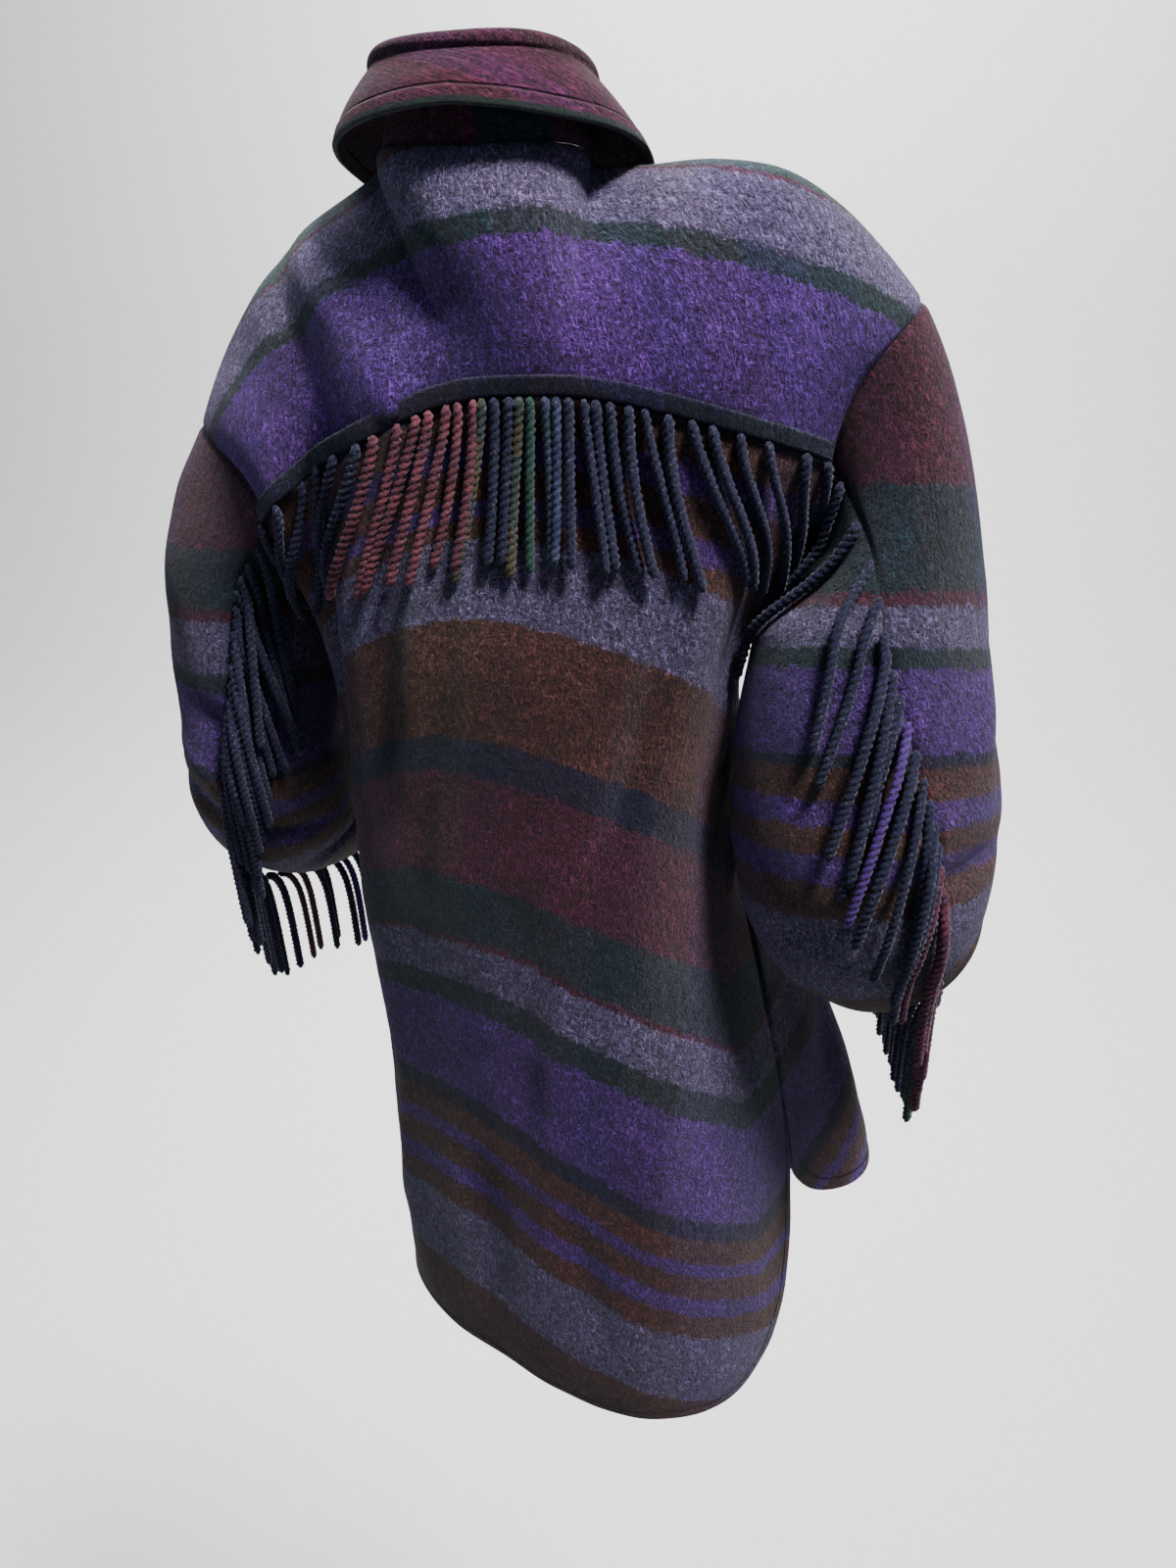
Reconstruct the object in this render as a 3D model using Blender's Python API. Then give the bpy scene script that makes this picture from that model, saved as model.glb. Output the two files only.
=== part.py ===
"""Wool blanket shirt jacket with a fringed yoke, filled out as worn, with nobody in it.

Metres, +Z up. The origin is the middle of the neck opening, level with the seam at its
back. The wearer faces -Y and has their left hand at +X. The shoulders lie along X, and
the hips are turned a little to the wearer's right, so the hem is turned with them.

Each cloth panel is a grid of points on the garment's outside. Panels that are sewn
together share their seam's points, so one direction per point serves both of them when
the wall is given its thickness, and their edges meet square, SEAM_GAP apart.
"""
import math
from collections import defaultdict, namedtuple

import bmesh
import bpy
from mathutils import Vector

# ---------------------------------------------------------------- driving dimensions
CLOTH = 0.0028            # brushed wool blanket cloth
SEAM_GAP = 0.0003         # between the pieces at a seam, and under what lies on a panel
HALF_GAP = SEAM_GAP / 2

NECK_HALF_WIDTH = 0.070
NECK_SHIFT = 0.018        # of the neck towards the wearer's left, as they lean
NECK_BACK = 0.072         # neck seam behind the origin
NECK_FRONT = 0.088        # neck seam in front of it
NECK_DROP = 0.070         # fall of the neck seam from back to front
STAND_HEIGHT = 0.048
STAND_HEIGHT_FRONT = 0.030
STAND_LEVEL_TO = 10.0     # degrees round from the centre back, where the stand begins to get lower
STAND_FRONT_FROM = 170.0  # where it has its front height
STAND_HOLLOW = 0.004      # of the stand's curve in towards the neck, halfway up
STAND_LEAN = 0.003        # of its top towards the neck
STAND_FORWARD = 0.006     # of its top, forward, at the centre back
ROLL_RADIUS = 0.005       # of the fall's turn over the top of the stand
ROLL_CLEAR = 0.002        # of that turn's middle, up and out from the stand's top edge
ROLL_INSIDE = -70.0       # degrees from straight up, where the turn starts inside the stand
ROLL_OUTSIDE = 130.0
ROLL_SHARE = 0.25         # of the fall's width, in its rows' terms, spent on that turn
FALL_BOW = 0.004          # of the fall away from straight
FALL_END = 166.0          # degrees round from the centre back, where its points are

NECK_SHARE = 0.30         # of a panel's width, counted from the centre, that ends at the neck
NECK_DIP = 2.4            # exponent of the neck seam's fall towards the front
SHOULDER_ARCH = 1.3       # exponent that moves the shoulder seam's arch outwards
YOKE_RISE = Vector((0, 0.015, 0.17))          # the cloth's way up from the yoke seam, as a curve's tangent
NECK_ARRIVAL = Vector((0, -0.11, 0.085))      # its way into the neck seam
SHOULDER_ARRIVAL = Vector((0, -0.16, -0.004))  # its way into the shoulder seam
YOKE_DEPTH = 0.140        # neck seam to yoke seam at the centre back, measured upright
YOKE_EDGE_ANGLE = 72.0    # where the yoke seam meets the armhole, degrees from centre back
CHEST_EDGE_ANGLE = 108.0  # the same on the fronts
UNDERARM_LEVEL = 0.165    # below the yoke seam, measured down the cloth
DROP_FADE = 0.22          # over which the slant of the rows fades away

BACK_LENGTH = 0.818       # yoke seam to hem down the centre back
VENT_LENGTH = 0.615       # yoke seam to the top of the side vent
FRONT_LENGTH = 0.738
SHIRT_TAIL_FLAT = 55.0    # degrees of the hem each side of the centre before it rises
TAIL_START = 0.575        # below the yoke seam, above which the rows run level

BAND_WIDTH = 0.034        # button band
YOKE_BAND_WIDTH = 0.013
YOKE_BAND_INSET = 0.003   # of its ends from the armholes
BAND_CLEAR = 0.0012       # between a band and the panels it lies on
FRINGE_LENGTH = 0.125
FRINGE_THICK = 0.007
FRINGE_CLEAR = 0.0032     # between the strands and the cloth they lie on
FRINGE_TOP = 0.004        # below the yoke seam
FRINGE_RIGHT_COLUMNS = 8  # of the back's columns that the fringe hangs over, each way
FRINGE_LEFT_COLUMNS = 7
SLEEVE_FRINGE_COLUMNS = 2    # of the under sleeve's columns that the strands lie on
SLEEVE_FRINGE_START = 0.35   # positions down the sleeve, as in sleeve_point
SLEEVE_FRINGE_END = 5.4
FRINGE_FREE_FROM = 2.6    # where the strands begin to hang free of the sleeve
FRINGE_FREE_BY = 3.6
FRINGE_BOW = 0.020        # of the strands round the elbow, out from the sleeve
FRINGE_SWING = 0.12       # how far the free strands swing outwards, as a share of their drop
CUFF_LENGTH = 0.062
CUFF_LAP = 28.0           # degrees
CUFF_START = 40.0
CUFF_TAPER = 0.002
BUTTON_DIAMETER = 0.021
BUTTON_THICK = 0.0036
BUTTON_EDGE = 0.0012      # chamfer
BUTTON_SIDES = 12
BUTTON_CLEAR = 0.0006
FRONT_BUTTONS = 6
FIRST_BUTTON_Z = -0.105
BUTTON_SPACING = 0.105
POCKET_TOP = 0.360        # below the yoke seam
POCKET_LENGTH = 0.155
POCKET_MARGIN = 0.008     # between the bag and the side seam
POCKET_COLUMNS = 5        # of the front's columns that the bag covers
POCKET_CLEAR = 0.0010
POCKET_THICK = 0.0020     # both layers of the bag

NECK_COLUMNS = 4          # of the faceted walls, from the centre to the side of the neck
SHOULDER_COLUMNS = 6      # from there to the shoulder point
UPPER_ROWS = 6            # from the yoke seam's level to the shoulder
SLEEVE_CAP_ROWS = 5
STAND_ROWS = 2
FALL_COLUMNS = 20
CUFF_COLUMNS = 18
CUFF_BUTTON_COLUMN = -3   # of the cuff's columns, where its button sits on the lap

# The collar's fall, by degrees round from the centre back: its width below the roll, and
# how steeply it falls, in degrees down from level.
Fall = namedtuple("Fall", "angle width slope")
COLLAR_FALL = (
    Fall(0.0, 0.034, 52.0),
    Fall(45.0, 0.042, 55.0),
    Fall(90.0, 0.050, 48.0),
    Fall(135.0, 0.062, 42.0),
    Fall(180.0, 0.074, 50.0),
)

# The body's level rings. turn is in degrees, and moves the back towards the wearer's right.
Level = namedtuple("Level", "z half_width back front centre_x centre_y turn")
BODY = (
    Level(-0.10, 0.236, 0.096, 0.105, -0.008, -0.006, 4.0),
    Level(-0.19, 0.230, 0.108, 0.122, -0.004, -0.006, 4.0),
    Level(-0.33, 0.168, 0.132, 0.140, 0.002, 0.008, 1.0),
    Level(-0.50, 0.166, 0.146, 0.148, 0.000, 0.030, -9.0),
    Level(-0.70, 0.202, 0.160, 0.156, -0.026, 0.056, -22.0),
    Level(-0.93, 0.204, 0.192, 0.168, -0.060, 0.088, -24.0),
)
SQUARENESS = 3.0          # exponent of a ring's outline; 2 would be an ellipse

# The shoulder points, how high the shoulder seam arches on its way there, and how much
# lower the yoke seam is at that armhole than at the centre. side is +1 for the wearer's left.
Shoulder = namedtuple("Shoulder", "side x y z arch yoke_drop")
SHOULDERS = (
    Shoulder(1, 0.274, -0.034, -0.190, 0.036, 0.104),
    Shoulder(-1, 0.266, 0.006, -0.100, 0.038, 0.055),
)

# Deep folds down the body: where they start and end below the yoke seam, and how deep.
Fold = namedtuple("Fold", "angle width depth top bottom")
FOLD_ENDS = 0.6            # exponent of a fold's fading towards its ends
BODY_FOLDS = (
    Fold(59.0, 6.0, 0.024, -0.12, 0.42),
    Fold(-64.0, 7.0, 0.010, 0.02, 0.36),
    Fold(72.0, 24.0, 0.054, 0.30, 1.20),
    Fold(-122.0, 15.0, -0.048, 0.50, 1.10),
    Fold(150.0, 9.0, 0.009, 0.05, 0.60),
    Fold(-152.0, 10.0, 0.008, 0.10, 0.40),
)

# An arm's way: the middle of the sleeve, its radius out from the body and its radius
# front to back, from below the shoulder to the wrist. twist turns the cloth on the arm, in
# degrees towards the body at the back.
Station = namedtuple("Station", "x y z out back twist")
ARMS = {
    1: (
        Station(0.246, -0.002, -0.325, 0.068, 0.084, 6.0),
        Station(0.246, 0.014, -0.395, 0.068, 0.084, -4.0),
        Station(0.252, 0.026, -0.468, 0.070, 0.082, -14.0),
        Station(0.254, 0.004, -0.530, 0.071, 0.071, -24.0),
        Station(0.238, -0.068, -0.558, 0.064, 0.064, -24.0),
        Station(0.222, -0.148, -0.560, 0.056, 0.056, -16.0),
    ),
    -1: (
        Station(0.252, 0.046, -0.325, 0.084, 0.086, 4.0),
        Station(0.256, 0.085, -0.410, 0.098, 0.088, -14.0),
        Station(0.263, 0.110, -0.496, 0.094, 0.088, -26.0),
        Station(0.284, 0.072, -0.552, 0.078, 0.078, -30.0),
        Station(0.292, -0.002, -0.572, 0.066, 0.066, -26.0),
        Station(0.286, -0.070, -0.574, 0.056, 0.056, -16.0),
    ),
}
ROWS_PER_STATION = 2
STATION_STEP = 0.05       # over which an arm's way is measured
HEAD_WAY = Vector((0.58, 0.0, -0.80))  # the cloth's way out of the left armhole
HEAD_LEAVE = 0.045        # length of the sleeve head's curve tangent at the armhole's underarm
HEAD_LEAVE_TOP = 0.12     # how much more it is at the shoulder
HEAD_ARRIVE = 0.05        # the same at the first ring round the arm
HEAD_ARRIVE_TOP = 0.10

# A finish: its colour in linear light, then its roughness
CLOTH_PURPLE = ((0.060, 0.030, 0.150, 1.0), 0.95)
CLOTH_BROWN = ((0.090, 0.038, 0.020, 1.0), 0.95)
CLOTH_NAVY = ((0.016, 0.016, 0.050, 1.0), 0.95)
CLOTH_BURGUNDY = ((0.110, 0.026, 0.050, 1.0), 0.95)
CLOTH_GREEN = ((0.014, 0.046, 0.050, 1.0), 0.95)
POCKET_LINING = ((0.020, 0.020, 0.028, 1.0), 0.80)
HORN = ((0.035, 0.020, 0.016, 1.0), 0.35)


# ---------------------------------------------------------------- small maths
def spline(a, b, c, d, k):
    """Catmull-Rom value between b and c."""
    return 0.5 * (2 * b + (c - a) * k + (2 * a - 5 * b + 4 * c - d) * k * k
                  + (3 * b - a - 3 * c + d) * k ** 3)


def row_between(rows, position):
    """A smooth row of a table at a fractional index, all columns at once."""
    last = len(rows) - 1
    position = min(max(position, 0.0), float(last))
    i = min(int(position), last - 1)
    before = rows[max(i - 1, 0)]
    after = rows[min(i + 2, last)]
    k = position - i
    return [spline(a, b, c, d, k) for a, b, c, d in zip(before, rows[i], rows[i + 1], after)]


def hermite(start, start_way, end, end_way, k):
    """A curve from start to end that leaves and arrives along the two ways."""
    k2 = k * k
    k3 = k2 * k
    return (start * (2 * k3 - 3 * k2 + 1) + start_way * (k3 - 2 * k2 + k)
            + end * (3 * k2 - 2 * k3) + end_way * (k3 - k2))


def smooth(k):
    k = min(max(k, 0.0), 1.0)
    return k * k * (3 - 2 * k)


def spread(start, end, count):
    """count + 1 even values from start to end."""
    return [start + (end - start) * i / count for i in range(count + 1)]


# ---------------------------------------------------------------- the body
def body_ring(z, angle):
    """A point of the body's level ring; 0 degrees is the centre back, +90 the left side."""
    position = 0.0
    for i in range(len(BODY) - 1):
        upper, lower = BODY[i].z, BODY[i + 1].z
        if z <= upper:
            position = i + min((upper - z) / (upper - lower), 1.0)
    level = Level(*row_between(BODY, position))
    a = math.radians(angle)
    depth = level.back if math.cos(a) > 0 else level.front
    corner = (abs(math.sin(a) / level.half_width) ** SQUARENESS
              + abs(math.cos(a) / depth) ** SQUARENESS)
    reach = corner ** (-1 / SQUARENESS)
    x = reach * math.sin(a)
    y = reach * math.cos(a)
    r = math.radians(level.turn)
    return Vector((x * math.cos(r) - y * math.sin(r) + level.centre_x,
                   x * math.sin(r) + y * math.cos(r) + level.centre_y, z))


def row_height(angle, down):
    """Height of the cloth's row that lies so far down below the yoke seam."""
    from_centre = min(abs(angle), 180 - abs(angle)) / YOKE_EDGE_ANGLE
    drop = shoulder_of(1 if angle >= 0 else -1).yoke_drop * min(from_centre, 1.0) ** 3
    return -YOKE_DEPTH - down - drop * math.exp(-down / DROP_FADE)


def fold_push(angle, down):
    """How far the deep folds push the cloth in."""
    push = 0.0
    for fold in BODY_FOLDS:
        reach = (down - fold.top) / (fold.bottom - fold.top)
        if 0 < reach < 1:
            across = (angle - fold.angle) / fold.width
            push += fold.depth * math.sin(math.pi * reach) ** FOLD_ENDS * math.exp(-across * across)
    return push


def inward_way(point, angle):
    """Level and square to the body's ring, into the hollow."""
    along = body_ring(point.z, angle + 1.0) - body_ring(point.z, angle - 1.0)
    return along.cross(Vector((0, 0, 1))).normalized()


def body_point(angle, down):
    """A point of the body's cloth, with its deep folds."""
    point = body_ring(row_height(angle, down), angle)
    return point + inward_way(point, angle) * fold_push(angle, down)


def hem_down(angle):
    """How far down the cloth the shirt-tail hem lies."""
    around = abs(angle) if abs(angle) <= 90 else 180 - abs(angle)
    length = BACK_LENGTH if abs(angle) <= 90 else FRONT_LENGTH
    k = min(max((around - SHIRT_TAIL_FLAT) / (90 - SHIRT_TAIL_FLAT), 0.0), 1.0)
    return length + (VENT_LENGTH - length) * (1 - math.sqrt(1 - k * k))


def edge_angle(down, yoke_angle):
    """Where the panel ends at the armhole, or at the side seam below it."""
    k = smooth(down / UNDERARM_LEVEL)
    return yoke_angle + (90.0 - yoke_angle) * k


def shoulder_of(side):
    return next(shoulder for shoulder in SHOULDERS if shoulder.side == side)


def neck_point(angle):
    a = math.radians(angle)
    reach = NECK_BACK if math.cos(a) > 0 else NECK_FRONT
    return Vector((NECK_HALF_WIDTH * math.sin(a) + NECK_SHIFT, reach * math.cos(a),
                   -NECK_DROP * ((1 - math.cos(a)) / 2) ** NECK_DIP))


def top_point(across, back):
    """The neck seam, then the shoulder seam, from the centre (0) to a shoulder (+1 or -1)."""
    side = 1 if across >= 0 else -1
    share = abs(across)
    neck_side = neck_point(90.0 * side)
    if share < NECK_SHARE:
        turn = 90.0 * share / NECK_SHARE
        return neck_point(side * (turn if back else 180.0 - turn))
    k = (share - NECK_SHARE) / (1 - NECK_SHARE)
    shoulder = shoulder_of(side)
    end = Vector((side * shoulder.x, shoulder.y, shoulder.z))
    arch = Vector((0, 0, shoulder.arch * math.sin(math.pi * k ** SHOULDER_ARCH)))
    return neck_side.lerp(end, k) + arch


def upper_point(across, up, back):
    """The cloth between the yoke seam's level and the neck and shoulder seams."""
    edge = YOKE_EDGE_ANGLE if back else CHEST_EDGE_ANGLE
    angle = across * edge if back else math.copysign(180 - abs(across) * (180 - edge), across)
    start = body_ring(row_height(angle, 0.0), angle)
    end = top_point(across, back)
    outer = smooth(abs(across) / (2 * NECK_SHARE))
    start_way, neck_way, shoulder_way = (YOKE_RISE.copy(), NECK_ARRIVAL.copy(), SHOULDER_ARRIVAL.copy())
    if not back:
        start_way.y = -start_way.y
        neck_way.y = -neck_way.y
        shoulder_way = -shoulder_way
    end_way = neck_way.lerp(shoulder_way, outer)
    point = hermite(start, start_way, end, end_way, up)
    return point + inward_way(start, angle) * fold_push(angle, -up * YOKE_DEPTH)


# ---------------------------------------------------------------- the sleeves
def arm_frame(side, position):
    """Middle, outward way, backward way and radii of a sleeve at a fractional station."""
    rows = ARMS[side]
    here = Station(*row_between(rows, position))
    ahead = Station(*row_between(rows, min(position + STATION_STEP, len(rows) - 1)))
    behind = Station(*row_between(rows, max(position - STATION_STEP, 0)))
    way = Vector((side * (ahead.x - behind.x), ahead.y - behind.y, ahead.z - behind.z))
    way.normalize()
    outward = Vector((side, 0, 0)) - way * side * way.x
    outward.normalize()
    backward = way.cross(outward) * -side
    middle = Vector((side * here.x, here.y, here.z))
    return middle, outward, backward, here, way


def sleeve_ring_point(side, position, angle):
    """A point round the arm; 0 degrees is outermost, 90 at the back, 180 next to the body."""
    middle, outward, backward, here, _ = arm_frame(side, position)
    a = math.radians(angle + here.twist)
    return middle + outward * here.out * math.cos(a) + backward * here.back * math.sin(a)


def sleeve_cap_point(side, start, angle, k):
    """The sleeve's head, from a point of the armhole to the first ring round the arm."""
    end = sleeve_ring_point(side, 0.0, angle)
    way = arm_frame(side, 0.0)[-1]
    top_share = (1 + math.cos(math.radians(angle))) / 2
    leaving = Vector((side * HEAD_WAY.x, HEAD_WAY.y, HEAD_WAY.z))
    start_way = leaving * (HEAD_LEAVE + HEAD_LEAVE_TOP * top_share)
    return hermite(start, start_way, end, way * (HEAD_ARRIVE + HEAD_ARRIVE_TOP * top_share), k)


def below_point(across, row, back):
    """A point of a back or front below the yoke seam; row is a TRUNK_ROWS entry."""
    side = 1 if across >= 0 else -1
    yoke_angle = YOKE_EDGE_ANGLE if back else 180 - CHEST_EDGE_ANGLE
    around = abs(across) * edge_angle(row.down, yoke_angle)
    angle = side * (around if back else 180 - around)
    down = row.down + row.tail * (hem_down(angle) - row.down)
    return body_point(angle, down)


# Rows of the trunk below the yoke seam. tail is the share of what is left down to the hem.
TrunkRow = namedtuple("TrunkRow", "down tail")
TRUNK_ROWS = tuple(TrunkRow(down, 0.0) for down in (
    0.0, 0.040, 0.082, 0.124, UNDERARM_LEVEL, 0.225, 0.290, POCKET_TOP, 0.435,
    POCKET_TOP + POCKET_LENGTH, TAIL_START)) + (TrunkRow(TAIL_START, 0.5), TrunkRow(TAIL_START, 1.0))
FRINGE_ROWS = (TrunkRow(FRINGE_TOP, 0.0),) + TRUNK_ROWS[1:4]
ARMHOLE_ROWS = [row for row in TRUNK_ROWS if row.down <= UNDERARM_LEVEL]


def trunk_shares():
    """Columns of half a panel, from its centre to its armhole."""
    return spread(0.0, NECK_SHARE, NECK_COLUMNS) + spread(NECK_SHARE, 1.0, SHOULDER_COLUMNS)[1:]


def trunk_ways():
    """Columns right across the back, -1 to 1."""
    shares = trunk_shares()
    return [-share for share in shares[:0:-1]] + shares


def trunk_grids():
    """The outside points of the back, the yoke and the fronts, as rows of points."""
    shares = trunk_shares()
    ways = trunk_ways()
    grids = {
        "back": [[below_point(way, row, True) for way in ways] for row in TRUNK_ROWS],
        "back_yoke": [[upper_point(way, up, True) for way in ways]
                      for up in spread(1, 0, UPPER_ROWS)],
    }
    for name, side in (("front_left", 1), ("front_right", -1)):
        upper = [[upper_point(share * side, up, False) for share in shares]
                 for up in spread(1, 0, UPPER_ROWS)]
        lower = [[below_point(share * side, row, False) for share in shares]
                 for row in TRUNK_ROWS[1:]]
        grids[name] = upper + lower
    return grids


def armhole(side):
    """The armhole from the shoulder down the back to the underarm, then down the front."""
    back = [upper_point(side, up, True) for up in spread(1, 0, UPPER_ROWS)]
    back += [below_point(side, row, True) for row in ARMHOLE_ROWS[1:]]
    front = [upper_point(side, up, False) for up in spread(1, 0, UPPER_ROWS)]
    front += [below_point(side, row, False) for row in ARMHOLE_ROWS[1:]]
    return back, front


def angles_along(points):
    """0 to 180 degrees, shared out by the way along the points."""
    steps = [0.0]
    for before, after in zip(points, points[1:]):
        steps.append(steps[-1] + (after - before).length)
    return [180.0 * step / steps[-1] for step in steps]


def sleeve_columns(side):
    """Armhole points and angles of the top sleeve and the under sleeve."""
    back, front = armhole(side)
    back = list(zip(back, angles_along(back)))
    front = [(point, -angle) for point, angle in zip(front, angles_along(front))]
    under_front = [(point, 360 + angle) for point, angle in front[-2:UPPER_ROWS - 1:-1]]
    return {"top": front[UPPER_ROWS:0:-1] + back[:UPPER_ROWS + 1],
            "under": back[UPPER_ROWS:] + under_front}


def sleeve_point(side, start, angle, position):
    """position runs 0 to 1 down the sleeve's head, then on from station to station."""
    if position <= 1:
        return sleeve_cap_point(side, start, angle, position)
    return sleeve_ring_point(side, position - 1, angle)


SLEEVE_END = len(ARMS[1])  # the last station, counted with the sleeve's head as 1


def sleeve_positions():
    cap = spread(0.0, 1.0, SLEEVE_CAP_ROWS)
    return cap + spread(1.0, SLEEVE_END, ROWS_PER_STATION * (SLEEVE_END - 1))[1:]


def sleeve_grid(side, columns):
    return [[sleeve_point(side, start, angle, position) for start, angle in columns]
            for position in sleeve_positions()]


# ---------------------------------------------------------------- the collar
def stand_point(angle, up):
    """The collar's stand, from the neck seam (0) to its top (1)."""
    base = neck_point(angle)
    front = smooth((abs(angle) - STAND_LEVEL_TO) / (STAND_FRONT_FROM - STAND_LEVEL_TO))
    height = STAND_HEIGHT + (STAND_HEIGHT_FRONT - STAND_HEIGHT) * front
    inward = Vector((NECK_SHIFT - base.x, -base.y, 0)).normalized()
    lean = inward * (STAND_HOLLOW * math.sin(math.pi * up) + STAND_LEAN * up)
    forward = Vector((0, -STAND_FORWARD * up * (1 - front), 0))
    return base + Vector((0, 0, height * up)) + lean + forward


def fall_point(angle, out):
    """The collar's fall, from inside the top of the stand (0), over the roll, to its edge."""
    top = stand_point(angle, 1.0)
    away = Vector((top.x - NECK_SHIFT, top.y, 0)).normalized()
    shape = Fall(*row_between(COLLAR_FALL, abs(angle) / COLLAR_FALL[1].angle))
    turn = math.radians(ROLL_INSIDE + (ROLL_OUTSIDE - ROLL_INSIDE) * min(out / ROLL_SHARE, 1.0))
    level = ROLL_RADIUS * math.sin(turn) + ROLL_CLEAR
    height = ROLL_RADIUS * math.cos(turn) + ROLL_CLEAR
    rolled = top + away * level + Vector((0, 0, height))
    k = max(out - ROLL_SHARE, 0.0) / (1 - ROLL_SHARE)
    slope = math.radians(shape.slope)
    down = away * math.cos(slope) - Vector((0, 0, math.sin(slope)))
    return rolled + down * shape.width * k + away * FALL_BOW * math.sin(math.pi * k)


# ---------------------------------------------------------------- walls
def facing_ways(grids):
    """One outward way for each point, shared by every panel that has the point."""
    ways = defaultdict(Vector)
    for grid, flip in grids.values():
        for above, below in zip(grid, grid[1:]):
            for i in range(len(above) - 1):
                corners = (above[i], above[i + 1], below[i + 1], below[i])
                area = (corners[2] - corners[0]).cross(corners[3] - corners[1])
                for corner in corners:
                    ways[key_of(corner)] += -area if flip else area
    return ways


def key_of(point):
    return tuple(round(value, 5) for value in point)


def trimmed(rows, gap=HALF_GAP):
    """The rows with their outer edges drawn in by the gap."""
    drawn = [[point.copy() for point in row] for row in rows]
    for row in drawn:
        row[0] += (row[1] - row[0]).normalized() * gap
        row[-1] += (row[-2] - row[-1]).normalized() * gap
    for edge, inner in ((0, 1), (-1, -2)):
        for i, point in enumerate(drawn[edge]):
            point += (rows[inner][i] - rows[edge][i]).normalized() * gap
    return drawn


def wall(name, grid, ways, thickness, flip, finish):
    """A closed wall: the grid is its outside, and the inside is a thickness behind it."""
    rows, columns = len(grid), len(grid[0])
    inner = [[point - way * thickness for point, way in zip(row, way_row)]
             for row, way_row in zip(grid, ways)]
    mesh = bmesh.new()
    sheets = []
    for layer in (trimmed(grid), trimmed(inner)):
        sheets.append([[mesh.verts.new(point) for point in row] for row in layer])
    outside, inside = sheets
    for r in range(rows - 1):
        for c in range(columns - 1):
            mesh.faces.new((outside[r][c], outside[r][c + 1], outside[r + 1][c + 1], outside[r + 1][c]))
            mesh.faces.new((inside[r + 1][c], inside[r + 1][c + 1], inside[r][c + 1], inside[r][c]))
    border = ([(r, 0) for r in range(rows)] + [(rows - 1, c) for c in range(1, columns)]
              + [(r, columns - 1) for r in range(rows - 2, -1, -1)]
              + [(0, c) for c in range(columns - 2, 0, -1)])
    for (r1, c1), (r2, c2) in zip(border, border[1:] + border[:1]):
        corners = (outside[r1][c1], outside[r2][c2], inside[r2][c2], inside[r1][c1])
        first = 0 if key_of(grid[r1][c1]) < key_of(grid[r2][c2]) else 1
        for turn in (0, 2):
            mesh.faces.new([corners[(first + turn + i) % 4] for i in range(3)])
    if flip:
        bmesh.ops.reverse_faces(mesh, faces=mesh.faces[:])
    bmesh.ops.triangulate(mesh, faces=mesh.faces[:])
    return add_object(name, mesh, finish)


def own_ways(grid, flip):
    """Outward ways worked out from one grid alone."""
    ways = facing_ways({"alone": (grid, flip)})
    return [[ways[key_of(point)].normalized() for point in row] for row in grid]


def moved_out(grid, flip, distance):
    ways = own_ways(grid, flip)
    return [[point + way * distance for point, way in zip(row, way_row)]
            for row, way_row in zip(grid, ways)]


def add_object(name, mesh, finish):
    data = bpy.data.meshes.new(name)
    mesh.to_mesh(data)
    mesh.free()
    piece = bpy.data.objects.new(name, data)
    parts_collection.objects.link(piece)
    piece.data.materials.append(material(name, finish))
    return piece


def material(name, finish):
    colour, roughness = finish
    made = bpy.data.materials.new(name)
    made.use_nodes = True
    shader = made.node_tree.nodes["Principled BSDF"]
    shader.inputs["Base Color"].default_value = colour
    shader.inputs["Roughness"].default_value = roughness
    shader.inputs["Metallic"].default_value = 0.0
    return made


# ---------------------------------------------------------------- the pieces
FINISHES = {
    "back": CLOTH_BROWN, "back_yoke": CLOTH_PURPLE, "front_left": CLOTH_PURPLE,
    "front_right": CLOTH_BURGUNDY, "collar_stand": CLOTH_GREEN,
    "sleeve_top_left": CLOTH_GREEN, "sleeve_top_right": CLOTH_BURGUNDY,
    "sleeve_under_left": CLOTH_NAVY, "sleeve_under_right": CLOTH_PURPLE,
}


def build_panels():
    """Every panel whose edges are sewn to another's, all at one go."""
    grids = {name: (grid, name == "front_left") for name, grid in trunk_grids().items()}
    for word, side in (("left", 1), ("right", -1)):
        for part, columns in sleeve_columns(side).items():
            grids[f"sleeve_{part}_{word}"] = (sleeve_grid(side, columns), side > 0)
    stand_angles = spread(-180.0, 180.0, 4 * NECK_COLUMNS)
    stand = [[stand_point(angle, up) for angle in stand_angles] for up in spread(1, 0, STAND_ROWS)]
    grids["collar_stand"] = (stand, False)
    ways = facing_ways(grids)
    for name, (grid, flip) in grids.items():
        way_rows = [[ways[key_of(point)].normalized() for point in row] for row in grid]
        wall(name, grid, way_rows, CLOTH, flip, FINISHES[name])


def build_collar_fall():
    outs = spread(0.0, ROLL_SHARE, 3) + spread(ROLL_SHARE, 1.0, 2)[1:]
    grid = [[fall_point(angle, out) for angle in spread(-FALL_END, FALL_END, FALL_COLUMNS)]
            for out in outs]
    wall("collar_fall", grid, own_ways(grid, False), CLOTH, False, CLOTH_BURGUNDY)


def build_yoke_band():
    """The rolled hem of the yoke, lying over the seam that joins the back."""
    above, seam = trunk_grids()["back_yoke"][-2:]
    grid = []
    for reach in (YOKE_BAND_WIDTH, YOKE_BAND_WIDTH / 2, 0.0):
        grid.append([low.lerp(high, reach / (high - low).length) for low, high in zip(seam, above)])
    grid = drawn_in(moved_out(grid, False, BAND_CLEAR + CLOTH), YOKE_BAND_INSET)
    wall("yoke_band", grid, own_ways(grid, False), CLOTH, False, CLOTH_NAVY)


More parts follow.
